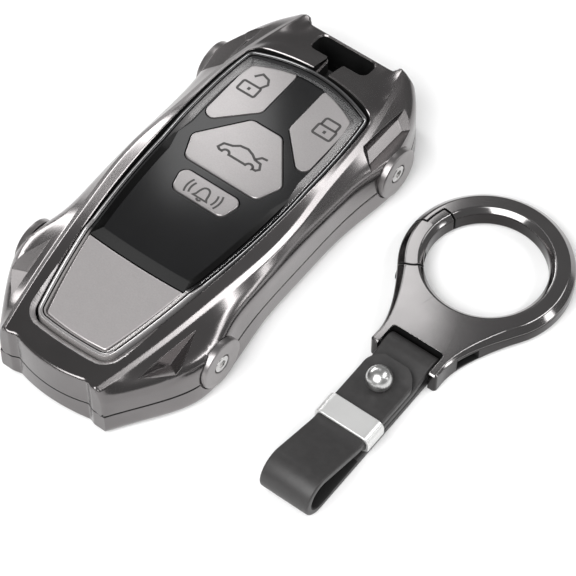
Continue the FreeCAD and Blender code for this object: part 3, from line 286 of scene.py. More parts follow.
# printed with a pad: flat dark grey
icon_ink = finish("pad printing ink, dark grey", "#3a3838", {"IOR": 1.5}, (0.4, 0.08), (0.5, 0.05), 0.5,
                  (0.2, 0.001))
# moulded rubber: matt, with only a dull sheen
RUBBER = {"IOR": 1.41}
silicone = finish("silicone rubber, black", "#141414", RUBBER, (1.0, 0.1), (0.6, 0.06), 1.0, (0.4, 0.002))
mat_rubber = finish("silicone rubber, grey", "#4c4c4c", RUBBER, (1.0, 0.08), (0.6, 0.05), 1.0, (0.4, 0.002))
# drum dyed and pressed smooth: charcoal, with a fine grain that breaks up the highlights
leather = finish("cowhide, smooth black", "#2e2d2d", {"IOR": 1.5, "Specular IOR Level": 0.45}, (1.4, 0.12),
                 (0.46, 0.06), 1.5, (0.42, 0.012))
# the strip's inner side, fibrous; its near black is painted shade inside the loop
shaded_flesh_side = finish("cowhide, flesh side, black as painted shade", "#0d0d0d", {"IOR": 1.45}, (0.8, 0.2), (0.8, 0.05), 0.8,
                    (0.3, 0.02))
print("soft finishes:", dark_gloss.name, "|", leather.name)

# %% [markdown]
# ## Making meshes
# A piece is a plain mesh whose vertices are already in place, with its object at the origin. The shapes
# below are worked out in millimetres and scaled once, here. Most are grids of points: rows along the
# piece, and in each row the points of one section, so one function can make their faces.

# %% Mesh helpers
SMOOTH_ANGLE = math.radians(28)
POLE_WELD = 1e-7


def piece(name, points, faces, material, smooth=SMOOTH_ANGLE):
    """A mesh object from points in millimetres, facing outwards. Edges sharper than smooth stay crisp."""
    mesh = bpy.data.meshes.new(name)
    places = [tuple(np.asarray(p, float) * MM) for p in points]
    mesh.from_pydata(places, [], [tuple(map(int, face)) for face in faces])
    shape = bmesh.new()
    shape.from_mesh(mesh)
    bmesh.ops.remove_doubles(shape, verts=shape.verts, dist=POLE_WELD)
    bmesh.ops.recalc_face_normals(shape, faces=shape.faces)
    shape.to_mesh(mesh)
    shape.free()
    made = bpy.data.objects.new(name, mesh)
    bpy.context.scene.collection.objects.link(made)
    dress(made, material, smooth)
    return made


def dress(made, material, smooth=SMOOTH_ANGLE):
    """One finish on a piece, shaded smooth up to an angle."""
    mesh = made.data
    mesh.materials.clear()
    mesh.materials.append(material)
    mesh.polygons.foreach_set("use_smooth", [True] * len(mesh.polygons))
    mesh.set_sharp_from_angle(angle=smooth)


def grid_faces(rows, columns, closed_rows=False, closed_columns=False):
    """Quads over a grid of points kept row by row."""
    faces = []
    for i in range(rows if closed_rows else rows - 1):
        for j in range(columns if closed_columns else columns - 1):
            a, b = i * columns, ((i + 1) % rows) * columns
            k = (j + 1) % columns
            faces.append((a + j, a + k, b + k, b + j))
    return faces


def capped(rows, columns):
    """Faces of a tube of points kept ring by ring, closed by one face at each end."""
    ends = [tuple(range(columns)), tuple(range((rows - 1) * columns, rows * columns))]
    return grid_faces(rows, columns, closed_columns=True) + ends


print("faces of a box from two rings of four points:", len(capped(2, 4)))

# %% [markdown]
# ## The cover's skin
# The skin is drawn as a boat's hull is: a few rails run from nose to tail, and at each place along the
# body a section joins them. A spline through a rail's points gives its width and height anywhere. Corners
# of the section are rounded by a set distance: wide where the casting flows, narrow along the shoulder
# crease.

# %% Sizes of the cover
HALF_LENGTH = 45.5
NOSE_END, TAIL_END = -HALF_LENGTH - 2.0, HALF_LENGTH + 2.0
NOSE_HALF, TAIL_HALF, WAIST_HALF, WHEEL_HALF, SHOULDER_HALF = 11.25, 12.3, 20.1, 22.0, 18.5
FRONT_WHEEL_Y, REAR_WHEEL_Y, WHEEL_Z, WHEEL_R = -24.5, 29.3, 7.3, 5.15
BESIDE, FAR = WHEEL_R * 1.1, WHEEL_R * 2.6
WINDOW_NOSE_Y, WINDOW_REAR_Y, STEP_Y = -39.9, 31.2, -20.6
WINDOW_NOSE_HALF, WINDOW_WAIST_HALF, WINDOW_HALF, WINDOW_REAR_HALF = 8.7, 13.3, 15.4, 14.4
SLOT_FRONT_Y, SLOT_REAR_Y, SLOT_HALF, SLOT_CORNER = 39.6, 44.0, 6.4, 1.3
PARTING_Z = 6.3
print("cover:", 2 * HALF_LENGTH, "mm long and", 2 * WHEEL_HALF, "mm wide")

# %% Smooth curves


def between(low, high, share):
    """The value at a share of the way from low to high."""
    return low + (high - low) * share


def end_slope(t, v):
    """Slope at the first of four points, of the cubic through them."""
    weights = [sum(1 / (t[0] - t[j]) for j in (1, 2, 3))]
    for i in (1, 2, 3):
        above = np.prod([t[0] - t[j] for j in (1, 2, 3) if j != i])
        below = np.prod([t[i] - t[j] for j in range(4) if j != i])
        weights.append(above / below)
    return sum(w * p for w, p in zip(weights, v))


def spline(t, v):
    """A smooth curve through values v at t, as a function of an array."""
    t, v = np.asarray(t, float), np.asarray(v, float)
    h = np.diff(t)
    n = len(t)
    system, right = np.zeros((n, n)), np.zeros((n,) + v.shape[1:])
    system[0, 0] = system[-1, -1] = 1.0
    right[0], right[-1] = end_slope(t[:4], v[:4]), end_slope(t[::-1][:4], v[::-1][:4])
    for i in range(1, n - 1):
        system[i, i - 1:i + 2] = h[i], 2 * (h[i - 1] + h[i]), h[i - 1]
        right[i] = 3 * (h[i] * (v[i] - v[i - 1]) / h[i - 1] + h[i - 1] * (v[i + 1] - v[i]) / h[i])
    slope = np.linalg.solve(system, right)

    def value(at):
        at = np.atleast_1d(np.asarray(at, float))
        k = np.clip(np.searchsorted(t, at) - 1, 0, n - 2)
        s = (at - t[k]) / h[k]
        w = h[k]
        if v.ndim > 1:
            s, w = s[:, None], w[:, None]
        return ((1 + 2 * s) * (1 - s) ** 2 * v[k] + s * (1 - s) ** 2 * w * slope[k]
                + s * s * (3 - 2 * s) * v[k + 1] + s * s * (s - 1) * w * slope[k + 1])
    return value


def rail(points):
    """A rail from (x, y, z) points, as (x, z) over y."""
    table = np.array(points, float)
    return spline(table[:, 1], table[:, [0, 2]])


print("a parabola's value at 1.5, which is 2.25:", spline([0, 1, 2, 3], [0, 1, 4, 9])(1.5)[0])

# %% Rails of the flank
FLANK_START = FRONT_WHEEL_Y - BESIDE
plan = [
    (NOSE_HALF - 0.25, NOSE_END),
    (between(NOSE_HALF, WHEEL_HALF, 0.58), between(-HALF_LENGTH, FLANK_START, 0.5)),
    (WHEEL_HALF - 0.4, FLANK_START), (WHEEL_HALF, FRONT_WHEEL_Y), (WHEEL_HALF - 0.4, FRONT_WHEEL_Y + BESIDE),
    (WAIST_HALF + 0.4, FRONT_WHEEL_Y + FAR), (WAIST_HALF, 2.0), (WAIST_HALF + 0.4, REAR_WHEEL_Y - FAR),
    (WHEEL_HALF - 0.4, REAR_WHEEL_Y - BESIDE), (WHEEL_HALF, REAR_WHEEL_Y),
    (WHEEL_HALF - 1.0, REAR_WHEEL_Y + BESIDE),
    (between(TAIL_HALF, WHEEL_HALF, 0.6), between(REAR_WHEEL_Y, HALF_LENGTH, 0.73)),
    (TAIL_HALF - 0.25, TAIL_END)]
# how far the flank's upper edge leans in, at each of these points
leans = [0.2, 0.3, 0.5, 0.2, 1.3, 0.6, 0.1, 0.5, 0.9, 0.2, 0.5, 0.4, 0.2]
shares = [(x - NOSE_HALF) / (WHEEL_HALF - NOSE_HALF) for x, y in plan]
LOW_Z, SIDE_TOP_Z, SIDE_NOSE_Z = 1.7, WHEEL_Z + WHEEL_R, 11.0
bottom_rail = rail([(x - between(0.8, 2.2, s), y, 0.0) for (x, y), s in zip(plan, shares)])
lower_rail = rail([(x, y, LOW_Z) for x, y in plan])
upper_rail = rail([(x - lean, y, between(SIDE_NOSE_Z, SIDE_TOP_Z, s) if y < FLANK_START else SIDE_TOP_Z)
                   for (x, y), lean, s in zip(plan, leans, shares)])
print("flank at the waist, x and z:", np.round(lower_rail(2.0)[0], 2))

# %% Rails of the shoulder and the roof
NOSE_Z, TOP_Z, TAIL_Z, ROOF_Z, ROOF_NOSE_Z, DECK_Z = 13.3, 14.9, 14.4, 17.1, 13.7, 14.0
crease_points = [
    (NOSE_HALF - 0.5, NOSE_END, NOSE_Z),
    (between(NOSE_HALF, SHOULDER_HALF, 0.45), -HALF_LENGTH * 0.67, between(NOSE_Z, TOP_Z, 0.3)),
    (between(NOSE_HALF, SHOULDER_HALF, 0.79), -HALF_LENGTH * 0.33, between(NOSE_Z, TOP_Z, 0.7)),
    (SHOULDER_HALF, HALF_LENGTH * 0.02, TOP_Z),
    (between(TAIL_HALF, SHOULDER_HALF, 0.84), HALF_LENGTH * 0.3, TOP_Z + 0.15),
    (between(TAIL_HALF, SHOULDER_HALF, 0.73), HALF_LENGTH * 0.53, TOP_Z + 0.15),
    (between(TAIL_HALF, SHOULDER_HALF, 0.45), HALF_LENGTH * 0.77, between(TAIL_Z, TOP_Z, 0.6)),
    (TAIL_HALF - 0.5, TAIL_END, TAIL_Z)]
SHOULDER_BEVEL = 1.3
crease_rail = rail(crease_points)
ridge_rail = rail([(x - SHOULDER_BEVEL * 0.8, y, z + SHOULDER_BEVEL * 0.5) for x, y, z in crease_points])
rim_rail = rail([
    (NOSE_HALF - 3.4, NOSE_END, ROOF_NOSE_Z), (WINDOW_NOSE_HALF - 1.3, WINDOW_NOSE_Y, ROOF_NOSE_Z),
    (WINDOW_WAIST_HALF - 1.3, -HALF_LENGTH * 0.4, between(ROOF_NOSE_Z, ROOF_Z, 0.62)),
    (WINDOW_WAIST_HALF - 0.43, -HALF_LENGTH * 0.12, between(ROOF_NOSE_Z, ROOF_Z, 0.86)),
    (WINDOW_HALF - 1.3, HALF_LENGTH * 0.25, ROOF_Z), (WINDOW_HALF - 1.3, HALF_LENGTH * 0.55, ROOF_Z),
    (WINDOW_REAR_HALF - 2.6, WINDOW_REAR_Y + 2.1, between(DECK_Z, ROOF_Z, 0.85)),
    (TAIL_HALF - 2.6, SLOT_FRONT_Y, between(DECK_Z, ROOF_Z, 0.2)), (TAIL_HALF - 2.6, SLOT_REAR_Y, DECK_Z),
    (TAIL_HALF - 2.6, TAIL_END, DECK_Z)])
print("crease at the waist, x and z:", np.round(crease_rail(2.0)[0], 2))

# %% [markdown]
# ## Sections and blanks
# Each shell starts as a full blank, as a casting starts from its pattern. At every station along the body
# a half section joins the rails with rounded corners, and its mirror image closes it. The upper blank
# ends at the parting plane, and the lower one has the parting groove along its rim. Close to the nose's
# and the tail's faces the upper sections draw in, which rounds the edges there.

# %% Stations and rounded sections


def rounded_section(corners, setbacks, runs=6, crown_runs=6, bends=5):
    """Sections with rounded corners. Each corner is an (n, 2) array, and each inner one has a setback."""
    out = []
    here = corners[0]
    for k in range(1, len(corners) - 1):
        before, corner, after = corners[k - 1], corners[k], corners[k + 1]
        into, away_from = before - corner, after - corner
        length_in = np.linalg.norm(into, axis=1, keepdims=True)
        length_out = np.linalg.norm(away_from, axis=1, keepdims=True)
        back = np.minimum(setbacks[k - 1], 0.45 * np.minimum(length_in, length_out))
        start, stop = corner + into / length_in * back, corner + away_from / length_out * back
        out += [between(here, start, s) for s in np.linspace(0, 1, runs, endpoint=False)]
        for s in np.linspace(0, 1, bends):
            out.append(start * (1 - s) ** 2 + corner * 2 * s * (1 - s) + stop * s * s)
        out.pop()
        here = stop
    out += [between(here, corners[-1], s) for s in np.linspace(0, 1, crown_runs)]
    return np.stack(out, 1)


# close together at the rounded ends, and wider between them
stations = np.concatenate([np.arange(-46.5, -43.5, 0.1), np.linspace(-43.5, 43.9, 300),
                           np.arange(44.0, 45.8, 0.1)])
lower_xz, upper_xz = lower_rail(stations), upper_rail(stations)


def flank_at(z):
    """The flank's point at a height, at every station."""
    share = (z - lower_xz[:, 1]) / (upper_xz[:, 1] - lower_xz[:, 1])
    return np.stack([between(lower_xz[:, 0], upper_xz[:, 0], share), np.full(len(stations), z)], 1)


def middle(z):
    """The section's point in the middle plane at a height, at every station."""
    return np.stack([np.zeros(len(stations)), np.broadcast_to(z, len(stations))], 1)


print("stations:", len(stations))

# %% Ends of the cover
NOSE_SET, NOSE_BOW, POST_NOSE, POST_TAIL, TAIL_SET = 0.6, 1.3, NOSE_HALF - 1.5, TAIL_HALF - 2.6, 0.8
POST_SIDE, TAIL_SIDE = 1.8, 0.8


def end_lines(x):
    """Where the nose and the tail end in plan, at a distance x from the middle."""
    half = POST_NOSE - POST_SIDE
    swing = np.clip((x - half) / POST_SIDE, 0, 1)
    set_back = NOSE_SET * (1 - swing * swing * (3 - 2 * swing))
    bulge = NOSE_BOW * (1 - np.minimum(x / half, 1.0) ** 2)
    nose = -HALF_LENGTH + set_back - bulge
    tail = HALF_LENGTH - TAIL_SET * np.clip((POST_TAIL + TAIL_SIDE - x) / TAIL_SIDE, 0, 1)
    return nose, tail


def round_ends(sections, middle_z, radius=0.6):
    """Draws the sections in towards the nose's and the tail's faces, which rounds the edges there."""
    x, z = sections[..., 0], sections[..., 1]
    nose, tail = end_lines(x)
    y = stations[:, None]
    inside = np.clip(np.minimum(y - nose, tail - y), 0.0, radius)
    inset = radius - np.sqrt(radius ** 2 - (radius - inside) ** 2)
    narrowed = np.where(x > POST_NOSE + 1.0, x - inset, x)
    return np.stack([narrowed, z - inset * np.sign(z - middle_z)], -1)


print("nose at its middle and at a post:", end_lines(np.array([0.0, POST_NOSE]))[0])

# %% The two blanks


def blank(name, sections):
    """A closed solid through the half sections of all stations and their mirror images."""
    left = sections[:, -2:0:-1] * np.array([-1.0, 1.0])
    rings = np.concatenate([sections, left], 1)
    rows, columns = rings.shape[:2]
    points = [(x, y, z) for y, ring in zip(stations, rings) for x, z in ring]
    return piece(name, points, capped(rows, columns), gunmetal)


SHELL_GAP, GROOVE_HEIGHT, GROOVE_DEPTH = 0.05, 0.34, 0.5
groove_step = np.array([GROOVE_DEPTH, 0.0])
rim_xz = rim_rail(stations)
upper_sections = rounded_section(
    [middle(PARTING_Z + SHELL_GAP), flank_at(PARTING_Z + SHELL_GAP), upper_xz, crease_rail(stations),
     ridge_rail(stations), rim_xz, middle(rim_xz[:, 1])],
    [0.1, 2.4, 0.16, 0.16, 1.2], crown_runs=24)
groove_z = PARTING_Z - GROOVE_HEIGHT
lower_sections = rounded_section(
    [middle(0.0), bottom_rail(stations), lower_xz, flank_at(groove_z), flank_at(groove_z) - groove_step,
     flank_at(PARTING_Z) - groove_step, middle(PARTING_Z)], [0.3, 0.7, 0.1, 0.05, 0.05])
# the first run, along the parting plane, is not drawn in
FIRST_RUN = 6
upper_sections[:, FIRST_RUN:] = round_ends(upper_sections, PARTING_Z)[:, FIRST_RUN:]
upper_shell = blank("upper_shell_cast", upper_sections)
lower_shell = blank("lower_shell_cast", lower_sections)
print("upper blank faces:", len(upper_shell.data.polygons), "lower:", len(lower_shell.data.polygons))

# %% [markdown]
# ## Outlines in plan
# The window and the fob's hollow are outlines that bow at the nose and at the tail and have rounded
# corners. The same function gives the window's edge, the border inside it and the hollow, each moved in
# or out by a distance, so the pieces always nest.

# %% Lines, bows and bends


def unit(way):
    """The same direction, one long."""
    return way / np.linalg.norm(way)


def smooth_side(points, count):
    """A smooth line through plan points."""
    points = np.array(points, float)
    along = np.concatenate([[0], np.cumsum(np.linalg.norm(np.diff(points, axis=0), axis=1))])
    return spline(along, points)(np.linspace(0, along[-1], count))


def bow(a, b, depth, count):
    """An arc from a to b that bulges by depth to the right of its way."""
    a, b = np.array(a, float), np.array(b, float)
    chord = b - a
    side = unit(np.array([chord[1], -chord[0]]))
    s = np.linspace(0, 1, count)[:, None]
    return a + chord * s + side * depth * 4 * s * (1 - s)


def bend(a, corner, b, half, s):
    """A round bend from a to b at shares s. half is half the angle at the corner."""
    weight = math.sin(half)
    share = (1 - s) ** 2 + 2 * weight * s * (1 - s) + s * s
    return ((1 - s) ** 2 * a + 2 * weight * s * (1 - s) * corner + s * s * b) / share


def corner_arc(before, after, radius, count=9):
    """Replaces the corner between two lines of points by an arc."""
    corner = before[-1]
    turn_in, turn_out = unit(before[-4] - corner), unit(after[3] - corner)
    half = math.acos(np.clip(turn_in @ turn_out, -1, 1)) / 2
    reach = radius / math.tan(half)
    kept_before = before[np.linalg.norm(before - corner, axis=1) > reach]
    kept_after = after[np.linalg.norm(after - corner, axis=1) > reach]
    a, b = corner + turn_in * reach, corner + turn_out * reach
    return kept_before, bend(a, corner, b, half, np.linspace(0, 1, count)[:, None]), kept_after


print("middle of a bow 1 mm deep:", bow((0, 0), (10, 0), 1.0, 3)[1])

# %% Closed outlines


def closed_loop(side, nose_bow, rear_bow, radii, count):
    """A plan outline, symmetric about x = 0, evenly spaced. radii are of the rear and the nose corners."""
    right = smooth_side(side, 160)
    mirror = np.array([-1.0, 1.0])
    rear = bow(right[-1], right[-1] * mirror, rear_bow, 80)
    left = (right * mirror)[::-1]
    nose = bow(right[0] * mirror, right[0], nose_bow, 80)
    lines = [right, rear, left, nose]
    arcs = []
    for k in range(4):
        lines[k], arc, lines[(k + 1) % 4] = corner_arc(lines[k], lines[(k + 1) % 4], radii[k // 2])
        arcs.append(arc)
    loop = np.concatenate([part for k in range(4) for part in (lines[k], arcs[k])])
    wrapped = np.concatenate([loop, loop[:1]])
    steps = np.linalg.norm(np.diff(wrapped, axis=0), axis=1)
    along = np.concatenate([[0], np.cumsum(steps)])
    even = np.linspace(0, along[-1], count, endpoint=False)
    return np.stack([np.interp(even, along, wrapped[:, 0]), np.interp(even, along, wrapped[:, 1])], 1)


def rectangle(x0, x1, y0, y1, radius=0.0, count=8):
    """A plan rectangle, with rounded corners if a radius is given."""
    if not radius:
        return np.array([(x0, y0), (x1, y0), (x1, y1), (x0, y1)], float)
    centres = [(x1 - radius, y0 + radius, -90), (x1 - radius, y1 - radius, 0),
               (x0 + radius, y1 - radius, 90), (x0 + radius, y0 + radius, 180)]
    turns = np.radians(np.linspace(0, 90, count))
    return np.array([(cx + radius * math.cos(math.radians(a) + t),
                      cy + radius * math.sin(math.radians(a) + t)) for cx, cy, a in centres for t in turns])


def outward_of(loop):
    """Unit normals of a closed plan outline that runs anticlockwise."""
    run = np.roll(loop, -1, 0) - np.roll(loop, 1, 0)
    return np.stack([run[:, 1], -run[:, 0]], 1) / np.linalg.norm(run, axis=1)[:, None]


print("points on a rounded square:", len(rectangle(0, 1, 0, 1, 0.2)))

# %% Outlines of the window and the fob
WINDOW_CORNER, WINDOW_NOSE_CORNER, LEAST_CORNER = 2.6, 3.3, 0.3
LOOP_COUNT = 360


def window_loop(grow, count=LOOP_COUNT):
    """The window's outline, moved outwards by grow."""
    y = [between(WINDOW_NOSE_Y, WINDOW_REAR_Y, s) for s in (0.31, 0.5, 0.74, 0.89)]
    side = [(WINDOW_NOSE_HALF + grow, WINDOW_NOSE_Y - grow), (WINDOW_WAIST_HALF + grow, y[0]),
            (between(WINDOW_WAIST_HALF, WINDOW_HALF, 0.72) + grow, y[1]), (WINDOW_HALF + grow, y[2]),
            (between(WINDOW_HALF, WINDOW_REAR_HALF, 0.2) + grow, y[3]),
            (WINDOW_REAR_HALF + grow, WINDOW_REAR_Y + grow)]
    radii = [max(radius + grow, LEAST_CORNER) for radius in (WINDOW_CORNER, WINDOW_NOSE_CORNER)]
    return closed_loop(side, 0.5, 3.4, radii, count)


def fob_loop(grow):
    """The fob's own outline, moved outwards by grow."""
    nose_half, half, rear_half, nose_y, rear_y = 10.2, 17.6, 15.0, -39.0, 32.4
    y = [between(nose_y, rear_y, s) for s in (0.2, 0.42, 0.65, 0.9)]
    side = [(nose_half + grow, nose_y - grow), (between(nose_half, half, 0.62) + grow, y[0]),
            (between(nose_half, half, 0.95) + grow, y[1]), (half + grow, y[2]),
            (between(half, rear_half, 0.3) + grow, y[3]), (rear_half + grow, rear_y + grow)]
    return closed_loop(side, 1.0, 3.4, (3.0 + grow, 3.0 + grow), LOOP_COUNT)


print("window outline:", np.round(window_loop(0.0).min(0), 2), np.round(window_loop(0.0).max(0), 2))

# %% [markdown]
# ## Cutting the shells
# A casting like this is cut from its blank with simple tools: the nose and tail are trimmed in plan, the
# window, the lanyard slot and the fob's hollow are prisms, the wheel seats are drilled, and the sunk
# pockets are a pyramid and a slanted tray. A narrow swept wedge breaks the window's edge, which is where
# the bright line round it comes from, and widens to a milled chamfer round the nose end.

# %% Trims and the parting groove
UNDER, OVER, ASIDE = -5.0, 30.0, 60.0


def prism(name, loop, low, high):
    """An upright prism on a closed plan outline."""
    points = [(x, y, z) for z in (low, high) for x, y in np.asarray(loop, float)]
    return piece(name, points, capped(2, len(loop)), gunmetal)


def plan_trim():
    """Nose and tail in plan: corner posts, with the edges set back between them."""
    across = np.linspace(-POST_NOSE, POST_NOSE, 121)
    nose = np.stack([across, end_lines(np.abs(across))[0]], 1)
    right = [(ASIDE, -HALF_LENGTH), (ASIDE, HALF_LENGTH), (POST_TAIL + TAIL_SIDE, HALF_LENGTH),
             (POST_TAIL, HALF_LENGTH - TAIL_SET)]
    left = [(-x, y) for x, y in reversed(right)]
    return prism("plan_trim", np.array(nose.tolist() + right + left), UNDER, OVER)


def end_groove(end, half):
    """The parting groove across the nose (end 0) or the tail (end 1)."""
    side = (-1, 1)[end]
    across = np.linspace(-half, half, 121)
    line = np.stack([across, end_lines(np.abs(across))[end] - side * GROOVE_DEPTH], 1)
    outside = [(half, side * ASIDE), (-half, side * ASIDE)]
    return prism("end_groove", np.array(line.tolist() + outside), groove_z + 0.03, PARTING_Z + 1.0)


print("parting groove from z", round(groove_z, 2), "to", PARTING_Z)

# %% Wheel seats


def drill(radius, x0, x1, y, z, count=96):
    """A cylinder along X."""
    turns = np.linspace(0, 2 * math.pi, count, endpoint=False)
    points = [(x, y + radius * math.cos(t), z + radius * math.sin(t)) for x in (x0, x1) for t in turns]
    return piece("drill", points, capped(2, count), gunmetal)


CAP_FACE, CAP_BACK, SEAT_RADIUS = WHEEL_HALF + 0.35, WHEEL_HALF - 0.95, WHEEL_R + 0.3


def wheel_seats():
    """Bores for the four wheel discs."""
    return [drill(SEAT_RADIUS, *sorted((side * CAP_BACK, side * ASIDE)), y, WHEEL_Z)
            for y in (FRONT_WHEEL_Y, REAR_WHEEL_Y) for side in (1, -1)]


print("wheel seats of radius", SEAT_RADIUS, "up to x", CAP_BACK)

# %% Pockets beside the wheels
POCKET_REACH, POCKET_DEPTH = 2.3, 1.3


def both_sides(points):
    """The points, and their mirror image on the left."""
    points = np.asarray(points, float)
    return [points, points * np.array([-1.0, 1.0, 1.0])]


def front_pockets():
    """Pyramids beside the front wheels."""
    wheel = np.array([WHEEL_HALF, FRONT_WHEEL_Y, WHEEL_Z])
    deep = wheel + (-5.5, -7.4, 3.7)
    rim = wheel + np.array([(-7.6, -15.1, 5.6), (-2.4, -9.4, 4.7), (-5.2, -0.6, 6.3)])
    corners = np.concatenate([[deep], deep + (rim - deep) * POCKET_REACH])
    faces = [(0, 1, 2), (0, 2, 3), (0, 3, 1), (1, 2, 3)]
    return [piece("front_pocket", side, faces, gunmetal) for side in both_sides(corners)]


def rear_pockets():
    """Slanted trays beside the rear wheels."""
    top = np.array([WHEEL_HALF - 5.4, REAR_WHEEL_Y, WHEEL_Z + 7.2])
    down, out, along = np.array([0.8, 0, -0.6]), np.array([0.6, 0, 0.8]), np.array([0, 1.0, 0])
    mouth_at = (12.4, 0.0), (7.6, 4.6), (-5.6, 4.0), (-3.4, 0.0)
    floor_at = (7.0, 1.3), (6.0, 3.4), (-4.2, 3.2), (-2.6, 1.2)
    mouth = np.array([top + along * a + down * d for a, d in mouth_at])
    floor = np.array([top + along * a + down * d - out * POCKET_DEPTH for a, d in floor_at])
    corners = np.concatenate([floor, floor + (mouth - floor) * POCKET_REACH])
    return [piece("rear_pocket", side, capped(2, 4), gunmetal) for side in both_sides(corners)]


print("a pocket's cutter is", POCKET_REACH, "times as high as the pocket")

# %% Slot, neck and hollow


def slot_loop(grow):
    """The lanyard slot's outline, moved outwards by grow."""
    return rectangle(-SLOT_HALF - grow, SLOT_HALF + grow, SLOT_FRONT_Y - grow, SLOT_REAR_Y + grow,
                     SLOT_CORNER + grow)


def slot():
    """The lanyard slot, through both shells."""
    return prism("slot", slot_loop(0.0), UNDER, OVER)


def fob_space():
    """The hollow for the fob in its sleeve."""
    return prism("fob_space", fob_loop(1.0), 1.3, 10.2)


NECK_HALF, NECK_FLARE = 1.5, 1.0


def slot_neck(grow=0.0, floor=DECK_Z - 3.4):
    """The narrow way from the window to the slot, with rounded mouths."""
    turns = np.radians(np.linspace(0, 90, 9))
    half, flare = NECK_HALF + grow, NECK_FLARE
    rear = [(half + flare - flare * math.cos(t), SLOT_FRONT_Y - flare + flare * math.sin(t)) for t in turns]
    right = [(half, WINDOW_REAR_Y)] + rear + [(half + flare, SLOT_FRONT_Y + 1.0)]
    return prism("slot_neck", right + [(-x, y) for x, y in reversed(right)], floor, OVER)


print("lanyard slot:", 2 * SLOT_HALF, "by", round(SLOT_REAR_Y - SLOT_FRONT_Y, 2), "mm")

# %% Broken edges, and all cutters


def roof_height(points):
    """Height of the skin over plan points."""
    points = np.asarray(points, float)
    y = points[:, 1]
    rails = [r(y) for r in (crease_rail, ridge_rail, rim_rail)]
    high = np.empty(len(y))
    for i, x in enumerate(np.abs(points[:, 0])):
        xs = [0.0] + [r[i, 0] for r in reversed(rails)]
        zs = [rails[-1][i, 1]] + [r[i, 1] for r in reversed(rails)]
        high[i] = np.interp(x, xs, zs)
    return high


PAST_OUT, PAST_WALL = 1.6, 0.6


def edge_wedge(name, wall, out, depth):
    """A swept wedge that breaks the edge over a wall, out to a second outline and down by a depth."""
    direction = out - wall
    wall_top, out_top = roof_height(wall), roof_height(out)
    high = np.column_stack([wall + direction * PAST_OUT, between(wall_top - depth, out_top, PAST_OUT)])
    low = np.column_stack([wall - direction * PAST_WALL, between(wall_top - depth, out_top, -PAST_WALL)])
    above = np.column_stack([wall - direction * PAST_WALL, wall_top + 2.0])
    points = np.stack([high, low, above], 1).reshape(-1, 3)
    return piece(name, points, grid_faces(len(wall), 3, True, True), gunmetal)


WINDOW_EDGE, NOSE_EDGE, NOSE_EDGE_DEPTH, SLOT_EDGE = 0.22, 1.0, 0.52, 0.3
window_wall = window_loop(0.0)
at_nose = np.clip((WINDOW_NOSE_Y + 12.0 - window_wall[:, 1]) / 9.0, 0, 1)
window_out = window_wall + outward_of(window_wall) * between(WINDOW_EDGE, NOSE_EDGE, at_nose)[:, None]
window_depth = between(WINDOW_EDGE, NOSE_EDGE_DEPTH, at_nose)
upper_cutters = wheel_seats() + front_pockets() + rear_pockets()
upper_cutters += [slot(), slot_neck(), slot_neck(0.25, DECK_Z - 0.25),
                  edge_wedge("slot_edge", slot_loop(0.0), slot_loop(SLOT_EDGE), SLOT_EDGE)]
upper_cutters += [fob_space(), prism("window", window_loop(0.0), 9.7, OVER),
                  edge_wedge("window_edge", window_wall, window_out, window_depth)]
lower_cutters = [end_groove(0, NOSE_HALF + 1.0), end_groove(1, TAIL_HALF + 1.0)]
lower_cutters += [fob_space(), slot()] + wheel_seats()
print("cutters:", len(upper_cutters), "and", len(lower_cutters))

# %% [markdown]
# ## The cut shells
# Both blanks are trimmed to the plan first. The lower one then gets the chamfer under its nose, and both
# get their openings, each before the wedge that breaks its edge. The cuts are exact booleans, and each
# result is kept as a mesh, so no modifier is left behind. The walls of the slot, the window and the groove
# are painted black as shade. The chamfer at the nose end of the window is milled later and has a finish
# of its own.

# %% Cut both shells
CUT_WELD = 5e-7


def settle(made):
    """Applies a piece's modifiers and keeps the result as its mesh."""
    bpy.context.view_layer.update()
    graph = bpy.context.evaluated_depsgraph_get()
    mesh = bpy.data.meshes.new_from_object(made.evaluated_get(graph), depsgraph=graph)
    made.modifiers.clear()
    made.data = mesh


def carve(made, cutters, operation="DIFFERENCE"):
    """Cuts a piece with other meshes, which are then removed, and welds the points that are left double."""
    for cutter in cutters:
        step = made.modifiers.new("cut", "BOOLEAN")
        step.operation = operation
        step.object = cutter
        step.solver = "EXACT"
        settle(made)
        bpy.data.objects.remove(cutter)
    shape = bmesh.new()
    shape.from_mesh(made.data)
    bmesh.ops.remove_doubles(shape, verts=shape.verts, dist=CUT_WELD)
    shape.to_mesh(made.data)
    shape.free()


NOSE_CHAMFER, NOSE_FRONT = 2.0, -HALF_LENGTH + NOSE_SET - NOSE_BOW
chamfer_foot = NOSE_FRONT + NOSE_CHAMFER * 1.4
chamfer_line = [(-ASIDE, UNDER), (chamfer_foot, UNDER), (chamfer_foot, 0.0), (NOSE_FRONT, NOSE_CHAMFER),
                (-ASIDE, NOSE_CHAMFER)]
chamfer_points = [(x, y, z) for x in (-ASIDE, ASIDE) for y, z in chamfer_line]
for shell in (upper_shell, lower_shell):
    carve(shell, [plan_trim()], "INTERSECT")
chamfer = piece("nose_chamfer", chamfer_points, capped(2, len(chamfer_line)), gunmetal)
carve(lower_shell, [chamfer] + lower_cutters)
carve(upper_shell, upper_cutters)
print("points after the cuts:", len(upper_shell.data.vertices), "and", len(lower_shell.data.vertices))

# %% Finish of the shells
PAINTED_SHADE, MILLED = 1, 2
NEAR, TOUCHING = 0.1, 0.01


def even_normals(made):
    """Lets the large faces rule the shading, so that flat faces beside small bevels look flat."""
    step = made.modifiers.new("normals", "WEIGHTED_NORMAL")
    step.keep_sharp = True
    step.weight = 60
    settle(made)


